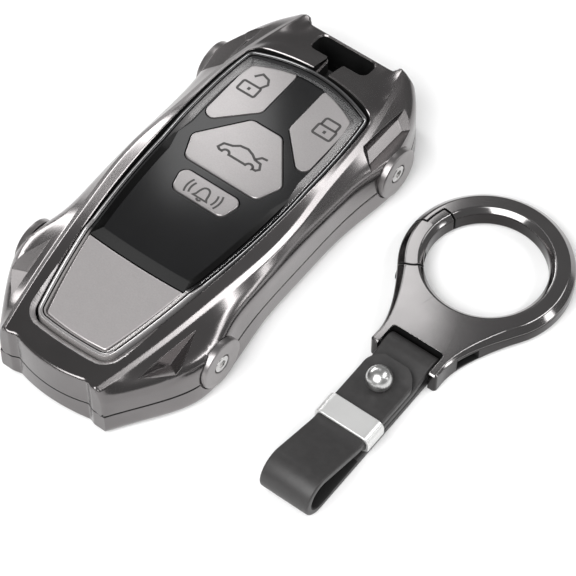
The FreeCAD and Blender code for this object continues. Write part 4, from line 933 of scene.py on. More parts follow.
def paint_shade_and_mill(shell):
    """Paints shade black on the walls of the slot, the window and the groove, and gives the milled edge its
    finish.
    """
    shell.data.materials.append(painted_shade_black)
    shell.data.materials.append(cut_edge)
    edge = window_loop(0.3)
    for face in shell.data.polygons:
        x, y, z = face.center / MM
        from_edge = np.hypot(edge[:, 0] - x, edge[:, 1] - y).min()
        below_roof = roof_height([(x, y)])[0] - z if from_edge < 1.0 else 0.0
        in_slot = abs(x) < SLOT_HALF + NEAR and SLOT_FRONT_Y - NEAR < y < SLOT_REAR_Y + NEAR
        in_neck = abs(x) < NECK_HALF + NEAR and WINDOW_REAR_Y < y < SLOT_FRONT_Y + NEAR
        in_opening = (in_slot or in_neck) and z < DECK_Z - 0.4
        in_window = from_edge < 1.0 and abs(face.normal.z) < 0.3 and below_roof > 0.5
        in_groove = groove_z - TOUCHING < z < PARTING_Z + SHELL_GAP + TOUCHING
        # black on these walls is painted shade
        if in_groove or in_opening or in_window:
            face.material_index = PAINTED_SHADE
        slanted = y < WINDOW_NOSE_Y + 11.0 and 0.8 < face.normal.z < 0.965
        if slanted and from_edge < 0.9 and below_roof < 0.8:
            face.material_index = MILLED


for shell, node in ((upper_shell, "upper_shell"), (lower_shell, "lower_shell")):
    dress(shell, gunmetal)
    paint_shade_and_mill(shell)
    even_normals(shell)
    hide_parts(node)
    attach(shell, "cover")
    print(shell.name, "faces", len(shell.data.polygons))

# %% [markdown]
# ## Pieces taken over from the frame
# Some CAD pieces have the right shape and only want softer edges. A copy of such a node is merged, its
# flat faces are joined again, and a bevel rounds its sharp edges, as tumbling does to a cast or moulded
# part. Pieces that are hidden or already round keep their CAD mesh and only get a finish.

# %% Soft-edged copies
COPY_WELD, FLAT_ANGLE, EDGE_ANGLE = 2e-6, math.radians(0.6), math.radians(35)


def soft_copy(node, name, material, width, segments, reshape=None):
    """A copy of a CAD node with rounded edges, riding where the node does."""
    shape = bmesh.new()
    shape.from_mesh(nodes[node].data)
    bmesh.ops.remove_doubles(shape, verts=shape.verts, dist=COPY_WELD)
    bmesh.ops.dissolve_limit(shape, angle_limit=FLAT_ANGLE, verts=shape.verts, edges=shape.edges)
    if reshape:
        for corner in shape.verts:
            corner.co = Vector(reshape(*(corner.co / MM))) * MM
    mesh = bpy.data.meshes.new(name)
    shape.to_mesh(mesh)
    shape.free()
    made = bpy.data.objects.new(name, mesh)
    bpy.context.scene.collection.objects.link(made)
    edge = made.modifiers.new("edge", "BEVEL")
    edge.width = width * MM
    edge.segments = segments
    edge.limit_method = "ANGLE"
    edge.angle_limit = EDGE_ANGLE
    settle(made)
    dress(made, material, math.radians(40))
    even_normals(made)
    body = nodes[node]["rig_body"]
    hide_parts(node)
    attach(made, body)
    return made


for key in ("unlock", "lock", "trunk", "alarm"):
    made = soft_copy(f"{key}_button", f"{key}_key", key_silver, 0.28, 4)
    print(made.name, "faces:", len(made.data.polygons))

# %% The two panels
PANEL_Z, PANEL_TILT = 15.2, 0.25


def panel_z(y):
    """Height of the key panel's top, which rises a little from the step to the rear."""
    return PANEL_Z + PANEL_TILT * (y - STEP_Y) / (WINDOW_REAR_Y - STEP_Y)


def tilt_panel(x, y, z):
    """Moves the points of the key panel's top onto its slight rise."""
    return (x, y, panel_z(y) if z > PANEL_Z - 0.1 else z)


key_panel = soft_copy("button_panel", "key_panel", dark_gloss, 0.06, 2, tilt_panel)
nose_panel = soft_copy("front_panel", "nose_panel", nose_silver, 0.3, 4)
print("panel faces:", len(key_panel.data.polygons), "and", len(nose_panel.data.polygons))

# %% [markdown]
# ## Pieces that keep their CAD mesh
# The sleeve and the key mat are moulded silicone, and the pins, the gate's spring and the stud's screw
# are steel. They are hidden or show as a sliver, so the CAD mesh is good enough and only takes the finish
# of its material.

# %% Finishes of the CAD meshes that stay
STAYING = {"key_sleeve": silicone, "keypad_mat": mat_rubber, "stud_screw": plain_steel,
           "strap_pin": plain_steel, "gate_pin": plain_steel, "gate_spring": plain_steel}
for node, material in STAYING.items():
    nodes[node].data.materials.clear()
    nodes[node].data.materials.append(material)
print("CAD meshes with new finishes:", len(STAYING))

# %% [markdown]
# ## The border inside the window
# A clear border stands between the metal frame and the panels. It is one profile carried round the
# window: an upright outer wall, a bright rounded rim, a dark groove and a thin lip that reaches over the
# panels. Because each line of the profile is the window's own outline moved inwards, the corners stay
# clean.

# %% Profile of the border
STEP_RISE, NOSE_PANEL_Z, TRIM_PROUD, WINDOW_GAP, TRIM_WIDTH = 0.5, 13.6, 0.35, 0.35, 1.5


def slope_z(y):
    """Height of the nose panel's top."""
    return between(NOSE_PANEL_Z, PANEL_Z + STEP_RISE, (y - WINDOW_NOSE_Y) / (STEP_Y - WINDOW_NOSE_Y))


def border_top(y):
    """Height of the border's crown: level beside the keys and sloping with the nose panel."""
    level = np.full(len(y), PANEL_Z + TRIM_PROUD)
    ease = np.clip((STEP_Y + 3.0 - y) / 3.0, 0, 1)
    return np.where(y < STEP_Y, slope_z(y) + TRIM_PROUD, level + ease * STEP_RISE)


# each line of the profile as (inset from the outer wall, drop below the crown): rim, groove and lip
RIM_PROFILE = [(0.12, 0.4), (0.15, 0.18), (0.22, 0.06), (0.3, 0.0), (0.4, 0.03), (0.56, 0.16)]
GROOVE_PROFILE = [(0.58, 0.42), (0.82, 0.42)]
LIP_PROFILE = [(0.84, 0.22), (0.9, 0.13), (0.98, 0.1), (1.08, 0.14), (1.18, 0.18)]
LIP_END, KEY_LIP_END, LIP_DROP, FOOT_DROP, KEY_RISE = 1.5, 2.55, 0.3, 2.4, 0.55
outer_line = window_loop(-WINDOW_GAP)
outer_way = outward_of(outer_line)


def moved_in(inset):
    """The border's outer line, moved inwards."""
    return outer_line - outer_way * inset


def far_in(inset):
    """An inset wider than the corners' radius: each point's nearest one on the smaller outline."""
    dense = window_loop(-WINDOW_GAP - inset, 3000)
    return np.array([dense[np.hypot(*(dense - p).T).argmin()] for p in moved_in(inset)])


crown_y = moved_in(0.5)[:, 1]
crown = border_top(crown_y)
print("crown of the border from z", round(crown.min(), 2), "to", round(crown.max(), 2))

# %% Window border
by_keys = np.clip((crown_y - 5.0) / 6.0, 0, 1)
lip_end = between(moved_in(LIP_END), far_in(KEY_LIP_END), by_keys[:, None])
inner_wall = moved_in(TRIM_WIDTH)
key_rise = by_keys * KEY_RISE
rings = [np.column_stack([moved_in(RIM_PROFILE[0][0]), crown - FOOT_DROP])]
rings += [np.column_stack([moved_in(inset), crown + key_rise - drop])
          for inset, drop in RIM_PROFILE + GROOVE_PROFILE + LIP_PROFILE]
rings += [np.column_stack([lip_end, crown + key_rise * 0.3 - between(LIP_DROP, -0.01, by_keys)]),
          np.column_stack([lip_end, crown - between(0.5, -0.06, by_keys)]),
          np.column_stack([inner_wall, crown - between(0.52, -0.04, by_keys)]),
          np.column_stack([inner_wall, crown - FOOT_DROP])]
border_points = np.stack(rings, 1).reshape(-1, 3)
border = piece("window_border", border_points, grid_faces(LOOP_COUNT, len(rings), True, True), clear_rim,
               math.radians(40))
border.data.materials.append(shaded_slope_gloss)
border.data.materials.append(clear_lip)
groove_start = len(RIM_PROFILE)
lip_start = groove_start + len(GROOVE_PROFILE) + 1
for face in border.data.polygons:
    line = face.index % len(rings)
    face.material_index = 0 if line < groove_start else 1 if line < lip_start else 2
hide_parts("window_trim")
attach(border, "cover")
print("border faces:", len(border.data.polygons))

# %% [markdown]
# ## The slope round the key panel
# The key panel lies a little deeper than its border, and a dark slope leads down to it: wide at the step
# behind the nose panel, narrow along the sides, and running out where the keys begin.

# %% Lines of the slope
PANEL_GROW = -WINDOW_GAP - TRIM_WIDTH - 0.1
SLOPE_END_Y, FRONT_BAND, SIDE_BAND, STEP_BOW = 9.0, 2.8, 1.35, 0.7
SIDE_RISE, FRONT_RISE, BLEND = 0.3, 0.47, 6
edge_x, edge_y = window_loop(PANEL_GROW, 2000).T
beside = (edge_x > 0) & (edge_y < SLOPE_END_Y) & (edge_y > STEP_Y - 2)
right_edge = np.column_stack([edge_x, edge_y])[beside]
right_edge = right_edge[np.argsort(right_edge[:, 1])]


def panel_half(y):
    """Half the key panel's width at a place along it."""
    return np.interp(y, right_edge[:, 1], right_edge[:, 0])


def step_line(x):
    """The step behind the nose panel, which bows a little."""
    return STEP_Y + 0.12 - STEP_BOW * (1 - (x / WINDOW_HALF) ** 2)


print("half width of the panel at the step:", round(panel_half(STEP_Y), 2))

# %% Panel slope
SIDE_COUNT, FRONT_COUNT = 40, 41
side_y = np.linspace(SLOPE_END_Y, step_line(panel_half(STEP_Y)), SIDE_COUNT)
taper = np.clip((SLOPE_END_Y - side_y) / 6.0, 0.02, 1.0)
outer_side = np.stack([-panel_half(side_y), side_y], 1)
inner_y = between(SLOPE_END_Y, side_y[-1] + FRONT_BAND, np.linspace(0, 1, SIDE_COUNT))
inner_side = np.stack([-(panel_half(inner_y) - SIDE_BAND * taper), inner_y], 1)
front_x = np.linspace(outer_side[-1, 0], -outer_side[-1, 0], FRONT_COUNT)[1:-1]
inner_x = np.linspace(inner_side[-1, 0], -inner_side[-1, 0], FRONT_COUNT)[1:-1]
outer_front = np.stack([front_x, step_line(front_x)], 1)
inner_front = np.stack([inner_x, step_line(inner_x) + FRONT_BAND], 1)
flip = np.array([-1.0, 1.0])
outer = np.concatenate([outer_side, outer_front, (outer_side * flip)[::-1]])
inner = np.concatenate([inner_side, inner_front, (inner_side * flip)[::-1]])
side_rise = SIDE_RISE * taper
rise = np.concatenate([side_rise, np.full(len(outer_front), FRONT_RISE), side_rise[::-1]])
rise[SIDE_COUNT - BLEND:SIDE_COUNT] = np.linspace(rise[SIDE_COUNT - BLEND - 1], FRONT_RISE, BLEND)
rise[-SIDE_COUNT:-SIDE_COUNT + BLEND] = np.linspace(FRONT_RISE, rise[-SIDE_COUNT + BLEND], BLEND)
lines = []
for share, lift in ((1.0, -0.06), (0.0, -0.06), (0.0, 1.0), (0.5, 0.5), (0.9, 0.1), (1.0, 0.02)):
    flat = between(outer, inner, share)
    height = panel_z(flat[:, 1]) + (lift if lift < 0 else 0.01 + rise * lift)
    lines.append(np.column_stack([flat, height]))
slope_points = np.stack(lines, 1).reshape(-1, 3)
slope_faces = capped(len(outer), len(lines))
panel_slope = piece("panel_slope", slope_points, slope_faces, shaded_slope_gloss, math.radians(12))
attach(panel_slope, "cover")
print("panel slope faces:", len(panel_slope.data.polygons))

# %% [markdown]
# ## Signs on the keys
# The keys carry small printed signs in dark ink: an open padlock, a closed padlock, a car with its boot
# open and a bell for the alarm. A sign is a stroke of even width, so one function turns a line of points
# into a thin ribbon that lies on the key and moves with it.

# %% Strokes
KEY_TOP_Z, INK_HEIGHT, STROKE, BELL_STROKE, WAVE_STROKE = 15.55, 0.02, 0.5, 0.42, 0.4


def stroke_points(line, closed, width):
    """The two edges of a stroke along a line of plan points, with mitred corners."""
    line = np.asarray(line, float)
    count = len(line)
    edges = []
    for i in range(count):
        before = line[i] - line[i - 1] if closed or i > 0 else line[1] - line[0]
        after = line[(i + 1) % count] - line[i] if closed or i < count - 1 else line[-1] - line[-2]
        before, after = unit(before), unit(after)
        side = unit(np.array([-(before + after)[1], (before + after)[0]]))
        reach = width / 2 / max(0.5, side @ np.array([-before[1], before[0]]))
        edges.append((line[i] + side * reach, line[i] - side * reach))
    return np.array(edges)


def sign(name, strokes, key):
    """A printed sign from strokes of (points, closed, width), riding on a key."""
    points, faces = [], []
    for line, closed, width in strokes:
        edges = stroke_points(line, closed, width)
        first = len(points)
        low, high = KEY_TOP_Z - INK_HEIGHT, KEY_TOP_Z + INK_HEIGHT
        for left, right in edges:
            points += [(*left, low), (*right, low), (*right, high), (*left, high)]
        local = grid_faces(len(edges), 4, True, True) if closed else capped(len(edges), 4)
        faces += [tuple(first + i for i in face) for face in local]
    made = piece(name, points, faces, icon_ink, math.radians(30))
    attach(made, f"{key}_key")
    return made


print("edge points of a stroke of two points:", stroke_points([(0, 0), (1, 0)], False, STROKE).shape)

# %% Padlocks


def padlock(x, y, shackle):
    """Body, keyhole and shackle of a padlock whose body is centred at x, y."""
    body = rectangle(x - 2.0, x + 2.0, y - 1.25, y + 1.25, 0.35, 4)
    hole = [(x, y - 0.35), (x, y + 0.35)]
    return [(body, True, STROKE), (hole, False, STROKE * 1.2), (shackle, False, STROKE)]


LOCK_AT, UNLOCK_AT = np.array([9.0, 23.6]), np.array([-8.65, 23.45])
SHACKLE_HALF, SHACKLE_FOOT = 1.65, 1.3
hoop = rectangle(LOCK_AT[0] - SHACKLE_HALF, LOCK_AT[0] + SHACKLE_HALF, LOCK_AT[1], LOCK_AT[1] + 3.1, 0.5, 5)
closed_shackle = np.concatenate([[LOCK_AT + (SHACKLE_HALF, SHACKLE_FOOT)], hoop[5:15],
                                 [LOCK_AT + (-SHACKLE_HALF, SHACKLE_FOOT)]])
open_shackle = UNLOCK_AT + np.array([(SHACKLE_HALF, SHACKLE_FOOT), (2.4, 2.8), (1.75, 3.9), (0.1, 4.4),
                                     (-0.95, 3.0)])
sign("lock_sign", padlock(*LOCK_AT, closed_shackle), "lock")
sign("unlock_sign", padlock(*UNLOCK_AT, open_shackle), "unlock")
print("padlocks at", LOCK_AT, "and", UNLOCK_AT)

# %% Car and bell


def arc(cx, cy, rx, ry, start, stop, count=12):
    """Points on an ellipse between two angles in degrees."""
    turns = np.radians(np.linspace(start, stop, count))
    return np.stack([cx + rx * np.cos(turns), cy + ry * np.sin(turns)], 1)


car = np.concatenate([[(-4.75, 9.0), (-4.3, 10.25), (-2.6, 10.75), (-1.5, 11.6), (0.2, 11.85), (1.6, 11.35)],
                      [(2.7, 10.6), (4.1, 10.45), (4.75, 9.3), (4.3, 8.65), (3.6, 8.65)],
                      arc(2.75, 8.6, 0.8, 0.75, 0, 180, 8), [(1.6, 8.62), (-1.6, 8.62)],
                      arc(-2.75, 8.6, 0.8, 0.75, 0, 180, 8), [(-4.1, 8.62)]])
boot = [(2.7, 10.75), (3.5, 11.75), (4.7, 11.9)]
sign("trunk_sign", [(car, True, STROKE), (boot, False, STROKE)], "trunk")
BELL_Y = -2.55
bell = np.concatenate([[(-1.55, BELL_Y), (-1.2, BELL_Y + 0.5), (-1.05, BELL_Y + 1.4)],
                       arc(0, BELL_Y + 1.55, 0.95, 1.05, 170, 10, 9),
                       [(1.05, BELL_Y + 1.4), (1.2, BELL_Y + 0.5), (1.55, BELL_Y)]])
clapper = arc(0, BELL_Y - 0.1, 0.5, 0.5, 200, 340, 6)
waves = [(arc(0, BELL_Y + 1.2, r, r, a - 26, a + 26, 8), False, WAVE_STROKE)
         for r in (2.85, 3.75) for a in (0, 180)]
sign("alarm_sign", [(bell, True, BELL_STROKE), (clapper, False, BELL_STROKE)] + waves, "alarm")
print("points of the car's line:", len(car), "and of the bell's:", len(bell))

# %% [markdown]
# ## Wheel discs and their screws
# The four wheels are alike: a turned disc with a broken edge and a shallow dish, held by a small screw
# with a hexagon socket. Each is modelled once, and Geometry Nodes put it at four places, two of them
# turned round. The tree takes the part and its finish as named inputs, so the discs and the screws share
# it.

# %% Geometry Nodes: one part at several places


def places_tree():
    """A tree that puts a part at every point, turned by the point's own angles, and gives it a finish."""
    tree = bpy.data.node_groups.new("part_at_places", "GeometryNodeTree")
    face = tree.interface
    face.new_socket("Places", in_out="INPUT", socket_type="NodeSocketGeometry")
    face.new_socket("Part", in_out="INPUT", socket_type="NodeSocketObject")
    face.new_socket("Finish", in_out="INPUT", socket_type="NodeSocketMaterial")
    face.new_socket("Parts", in_out="OUTPUT", socket_type="NodeSocketGeometry")
    entry = add(tree, "NodeGroupInput")
    part = add(tree, "GeometryNodeObjectInfo", {"As Instance": True}, {"Object": entry.outputs["Part"]})
    turn = add(tree, "GeometryNodeInputNamedAttribute", {"data_type": "FLOAT_VECTOR", "Name": "turn"})
    put = add(tree, "GeometryNodeInstanceOnPoints", None,
              {"Points": entry.outputs["Places"], "Instance": part.outputs["Geometry"],
               "Rotation": turn.outputs["Attribute"]})
    real = add(tree, "GeometryNodeRealizeInstances", None, {"Geometry": put.outputs["Instances"]})
    coat = add(tree, "GeometryNodeSetMaterial", None,
               {"Geometry": real.outputs["Geometry"], "Material": entry.outputs["Finish"]})
    out = add(tree, "NodeGroupOutput")
    tree.links.new(coat.outputs["Geometry"], out.inputs["Parts"])
    return tree


def socket_id(tree, name):
    """Identifier of a tree's named input."""
    return next(s.identifier for s in tree.interface.items_tree if s.name == name and s.in_out == "INPUT")


part_at_places = places_tree()
print("sockets of the tree:", [socket.name for socket in part_at_places.interface.items_tree])

# %% The same part at all four wheels
wheel_spots = [(side * CAP_FACE, y, WHEEL_Z, side)
               for side in (1, -1) for y in (FRONT_WHEEL_Y, REAR_WHEEL_Y)]


def at_wheels(name, part, material, node):
    """Puts a part that faces +X at all four wheels."""
    mesh = bpy.data.meshes.new(name)
    mesh.from_pydata([Vector(spot[:3]) * MM for spot in wheel_spots], [], [])
    turns = mesh.attributes.new("turn", "FLOAT_VECTOR", "POINT")
    for i, spot in enumerate(wheel_spots):
        turns.data[i].vector = (0, 0, 0 if spot[3] > 0 else math.pi)
    made = bpy.data.objects.new(name, mesh)
    bpy.context.scene.collection.objects.link(made)
    step = made.modifiers.new("places", "NODES")
    step.node_group = part_at_places
    step[socket_id(part_at_places, "Part")] = part
    step[socket_id(part_at_places, "Finish")] = material
    settle(made)
    bpy.data.objects.remove(part)
    dress(made, material, math.radians(30))
    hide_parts(node)
    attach(made, "cover")
    return made


print("wheel spots:", len(wheel_spots))

# %% [markdown]
# ## One disc and one screw
# A disc is turned from bar, so a profile of radii and heights is carried round its axis: bore, back, rim,
# broken edge, face and the sink for the screw's head. The screw is turned in the same way, and its
# hexagon socket is pressed in afterwards, which is a cut here.

# %% Discs and screws


def turned(name, profile, material, closed=True, count=72):
    """A lathe-turned part about X, from (radius, x) points. An open profile starts and ends on the axis."""
    turns = np.linspace(0, 2 * math.pi, count, endpoint=False)
    points = [(x, r * math.cos(t), r * math.sin(t)) for t in turns for r, x in profile]
    return piece(name, points, grid_faces(count, len(profile), True, closed), material, math.radians(30))


DISC_THICK, EDGE, HEAD_R, SINK_R, HEAD_H = 1.3, 0.22, 1.8, 1.95, 1.0
BORE_HALF, SHANK_R, SHANK_END, SOCKET_R, SOCKET_FLOOR = 1.15, 1.0, -4.95, 0.92, -0.4
disc_profile = [(BORE_HALF, -DISC_THICK), (WHEEL_R, -DISC_THICK), (WHEEL_R, -EDGE), (WHEEL_R - 0.07, -0.07),
                (WHEEL_R - EDGE, 0.0), (WHEEL_R - 0.9, -0.03), (SINK_R + 0.5, -0.05), (SINK_R + 0.15, -0.05),
                (SINK_R, -0.18), (SINK_R, -HEAD_H - 0.05), (BORE_HALF, -HEAD_H - 0.05)]
disc = turned("disc", disc_profile, wheel_metal)
wheel_discs = at_wheels("wheel_discs", disc, wheel_metal, "wheel_caps")
screw_profile = [(0.0, SHANK_END), (SHANK_R, SHANK_END), (SHANK_R, -HEAD_H - 0.04), (HEAD_R, -HEAD_H - 0.04),
                 (HEAD_R, -0.3), (HEAD_R - 0.1, -0.12), (HEAD_R - 0.3, -0.05), (1.1, -0.05), (0.0, -0.05)]
screw = turned("screw", screw_profile, screw_steel, False)
socket_turns = [math.radians(60 * k) for k in range(6)]
hexagon = [(x, SOCKET_R * math.cos(t), SOCKET_R * math.sin(t))
           for x in (SOCKET_FLOOR, 0.5) for t in socket_turns]
carve(screw, [piece("hex", hexagon, capped(2, 6), plain_steel)])
wheel_screws = at_wheels("wheel_screw_set", screw, screw_steel, "wheel_screws")
print("wheel discs:", len(wheel_discs.data.polygons), "faces")
print("wheel screws:", len(wheel_screws.data.polygons), "faces")

# %% [markdown]
# ## The ring and its gate
# The ring is cast in one with a neck that flows into it, and both have broad bevels, which catch the
# light as dark and bright bands. A blank is made first: its outline in plan is followed round by one
# profile, rounded at the bevels. The gate is cut out of the same blank, so its bevels meet the ring's
# across the seam. A tongue on the ring reaches into the gate and carries its pin.

# %% Outline of the ring
CHAIN_X, RING_Y, RING_HEIGHT, RING_OUTER, RING_EYE = 46.35, 24.2, 5.0, 16.6, 11.7
NECK_HALF_END, NECK_END_Y, NECK_STRAIGHT_Y, NECK_CORNER = 7.3, -2.6, -0.4, 0.7
TOUCH = math.radians(-33)
ring_middle = np.array([CHAIN_X, RING_Y])


def ring_outline():
    """Outline in plan about the ring's centre: up the neck's right side, round the ring and down the left."""
    touch = RING_OUTER * np.array([math.cos(TOUCH), math.sin(TOUCH)])
    way = np.array([-math.sin(TOUCH), math.cos(TOUCH)])
    foot = np.array([NECK_HALF_END, NECK_STRAIGHT_Y - RING_Y])
    handles = [foot, foot + (0.0, 4.5), touch - way * 6.5, touch]
    s = np.linspace(0, 1, 40)[1:, None]
    weights = ((1 - s) ** 3, 3 * s * (1 - s) ** 2, 3 * s * s * (1 - s), s ** 3)
    side = sum(w * h for w, h in zip(weights, handles))
    end_y = NECK_END_Y - RING_Y
    corner = [(NECK_HALF_END - NECK_CORNER + NECK_CORNER * math.sin(t),
               end_y + NECK_CORNER - NECK_CORNER * math.cos(t)) for t in np.linspace(0, math.pi / 2, 7)]
    end = [(x, end_y) for x in np.linspace(0, NECK_HALF_END - NECK_CORNER, 12)[:-1]]
    turns = np.linspace(TOUCH, math.pi / 2, 90)[1:]
    limb = RING_OUTER * np.stack([np.cos(turns), np.sin(turns)], 1)
    right = np.concatenate([end, corner, [foot - (0.0, 0.7), foot], side, limb])
    return np.concatenate([right, (right * np.array([-1.0, 1.0]))[-2:0:-1]])


print("points of the ring's outline:", len(ring_outline()))

# %% Ring blank
OUTER_BEVEL, EYE_BEVEL, BEVEL_ROUND = 1.3, 1.0, 0.22


def bevel_line(width, soft):
    """A bevel's (inset, drop) points with rounded ends, for an array of widths."""
    top = [width + soft, width, width - soft * 0.7]
    line = []
    for s in np.linspace(0, 1, 5):
        inset = top[0] * (1 - s) ** 2 + top[1] * 2 * s * (1 - s) + top[2] * s * s
        line.append((inset, soft * 0.7 * s * s))
    return line + [(drop, inset) for inset, drop in reversed(line)]


def ring_blank(name):
    """The ring and its neck as one closed plate."""
    line = ring_outline()
    outward = outward_of(line)
    toward = line / np.linalg.norm(line, axis=1, keepdims=True)
    width = np.interp(line[:, 1] + RING_Y, [NECK_END_Y, 4.0, 13.0], [0.35, 0.7, OUTER_BEVEL])
    outside = [(line - outward * inset[:, None], drop)
               for inset, drop in bevel_line(width, BEVEL_ROUND * width)]
    eye_width = np.full(len(line), EYE_BEVEL)
    inside = [(toward * (RING_EYE + inset)[:, None], drop)
              for inset, drop in bevel_line(eye_width, BEVEL_ROUND * eye_width)]
    rows = [(flat, RING_HEIGHT - drop) for flat, drop in outside] + outside[::-1]
    rows += inside + [(flat, RING_HEIGHT - drop) for flat, drop in reversed(inside)]
    lines = [np.column_stack([flat + ring_middle, np.broadcast_to(z, len(line))]) for flat, z in rows]
    faces = grid_faces(len(line), len(rows), True, True)
    return piece(name, np.stack(lines, 1).reshape(-1, 3), faces, ring_metal, math.radians(40))


print("points across a bevel:", len(bevel_line(OUTER_BEVEL, BEVEL_ROUND)))

# %% [markdown]
# ## Tools for the ring and the gate
# The gate is a casting of its own that turns on a pin, so the cuts follow its motion: a round tail about
# the pin, and a nose that laps a step of the ring at the latch. The ring's tongue is a bar with a round
# end at the pin. The neck has a notch for the strap, a bore for the strap's pin and a shallow window in
# each side.

# %% Cutters of the ring and the gate
PIVOT_TURN = math.radians(199)
GATE_TAIL, GATE_HALF, GATE_NOSE, GATE_STEP_R, GATE_GAP = 5.0, 5.5, 9.7, 14.2, 0.3
latch_way = np.array([-math.sin(PIVOT_TURN - math.pi), math.cos(PIVOT_TURN - math.pi)])
pivot = ring_middle + (RING_EYE + RING_OUTER) / 2 * np.array([math.cos(PIVOT_TURN), math.sin(PIVOT_TURN)])


def gate_loop(grow):
    """The gate in plan, moved outwards by grow: a round tail at the pivot, and a nose at the latch."""
    turns = np.linspace(0, 2 * math.pi, 720, endpoint=False)
    way = np.stack([np.cos(turns), np.sin(turns)], 1)
    offset = pivot - ring_middle
    toward = way @ offset
    to_step = np.sqrt(np.maximum(toward ** 2 + (GATE_STEP_R + grow) ** 2 - offset @ offset, 0)) - toward
    arm = np.maximum(GATE_HALF + grow, np.minimum(GATE_NOSE + grow, to_step))
    reach = np.where(way @ latch_way > 0, arm, GATE_TAIL + grow)
    return pivot + way * reach[:, None]


def upright_drill(radius, x, y, z0, z1, count=64):
    """A cylinder along Z."""
    turns = np.linspace(0, 2 * math.pi, count, endpoint=False)
    return prism("drill", [(x + radius * math.cos(t), y + radius * math.sin(t)) for t in turns], z0, z1)


def behind_pivot(half, back, round_r, z0, z1):
    """A bar from the pivot towards the neck, with a round end at the pivot."""
    across = np.array([latch_way[1], -latch_way[0]])
    turns = np.linspace(0, math.pi, 25)
    end = [pivot + across * round_r * math.cos(t) + latch_way * round_r * math.sin(t) for t in turns]
    foot = [pivot - across * half - latch_way * back, pivot + across * half - latch_way * back]
    root = [pivot - across * half, pivot + across * half] if half > round_r else []
    return prism("bar", end + root[:1] + foot + root[1:], z0, z1)


TONGUE_HALF, TONGUE_LOW, TONGUE_HIGH, SPRING_HIGH, PLAY = 1.6, 1.525, 2.725, 3.475, 0.05
NOTCH_HALF, NOTCH_Y, SIDE_HOLE_Y, SIDE_HOLE_HALF, SIDE_HOLE_RISE = 5.65, 2.5, 5.6, 2.2, 1.15
PIN_R, GATE_PIN_TOP, STRAP_PIN_Y, STRAP_PIN_Z, STRAP_PIN_END = 0.8, 4.3, -0.4, 2.55, 7.1


def side_hole(side):
    """The shallow window in the neck's side."""
    x0, x1 = sorted((CHAIN_X + side * 7.0, CHAIN_X + side * ASIDE))
    plan_shape = rectangle(x0, x1, SIDE_HOLE_Y - SIDE_HOLE_HALF, SIDE_HOLE_Y + SIDE_HOLE_HALF)
    return prism("side_hole", plan_shape, RING_HEIGHT / 2 - SIDE_HOLE_RISE, RING_HEIGHT / 2 + SIDE_HOLE_RISE)


print("gate turns about", np.round(pivot, 2))

# %% [markdown]
# ## Ring and gate from their blanks
# The ring gives up the gate's space and is then joined with the tongue, which stands in that gap. The
# gate is what the second blank keeps inside the gate's plan, hollowed for the tongue. Walls at the seam,
# in the notch and in the side windows are painted black as shade, and the other upright walls get a
# darker copy of the metal, painted shade beside the bright bevels.

# %% Ring and gate
ring = ring_blank("ring_cast")
carve(ring, [prism("gate_space", gate_loop(GATE_GAP), UNDER, OVER)])
bar = behind_pivot(TONGUE_HALF, GATE_TAIL + TONGUE_HALF, TONGUE_HALF, TONGUE_LOW, TONGUE_HIGH)
carve(ring, [bar], "UNION")
notch = rectangle(CHAIN_X - NOTCH_HALF, CHAIN_X + NOTCH_HALF, -ASIDE, NOTCH_Y, 0.8, 8)
carve(ring, [prism("notch", notch, UNDER, OVER),
             upright_drill(PIN_R + PLAY, *pivot, UNDER, GATE_PIN_TOP + PLAY),
             drill(PIN_R + PLAY / 2, CHAIN_X - ASIDE, CHAIN_X + STRAP_PIN_END, STRAP_PIN_Y, STRAP_PIN_Z),
             side_hole(1), side_hole(-1)])
gate = ring_blank("gate_cast")
carve(gate, [prism("gate_plan", gate_loop(-0.1), UNDER, OVER)], "INTERSECT")
carve(gate, [behind_pivot(ASIDE, ASIDE, TONGUE_HALF + GATE_GAP, TONGUE_LOW - PLAY, SPRING_HIGH + PLAY),
             upright_drill(PIN_R + PLAY, *pivot, UNDER, GATE_PIN_TOP + PLAY)])
seam = gate_loop(GATE_GAP / 2)
SHADED_WALL = 2
for made, node, body in ((ring, "ring_body", "ring"), (gate, "ring_gate", "gate")):
    dress(made, ring_metal, math.radians(40))
    made.data.materials.append(painted_shade_black)
    made.data.materials.append(shaded_wall_metal)
    for face in made.data.polygons:
        x, y, z = face.center / MM
        at_seam = np.hypot(seam[:, 0] - x, seam[:, 1] - y).min() < GATE_GAP
        in_notch = abs(x - CHAIN_X) < NOTCH_HALF + TOUCHING and y < NOTCH_Y + TOUCHING
        in_side = abs(y - SIDE_HOLE_Y) < SIDE_HOLE_HALF + TOUCHING and abs(x - CHAIN_X) < 8.6
        in_side = in_side and abs(z - RING_HEIGHT / 2) < SIDE_HOLE_RISE + TOUCHING
        # black in the seam, the notch and the side windows, and the darker copy on other upright walls:
        # painted shade
        if abs(face.normal.z) < 0.1 and (at_seam or in_notch) or in_side:
            face.material_index = PAINTED_SHADE
        elif abs(face.normal.z) < 0.3:
            face.material_index = SHADED_WALL
    even_normals(made)
    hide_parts(node)
    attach(made, body)
    print(made.name, "faces:", len(made.data.polygons))

# %% [markdown]
# ## The leather strap
# One strip of leather makes the whole strap: a flap, a fold round the ring's pin, a floor layer, an open
# loop and a tongue that buttons on the stud. Seen from the side it is a single line, so a curve is drawn
# along the middle of the leather, and Geometry Nodes carry a rounded strip section along it.

# %% Geometry Nodes: a strip along a route


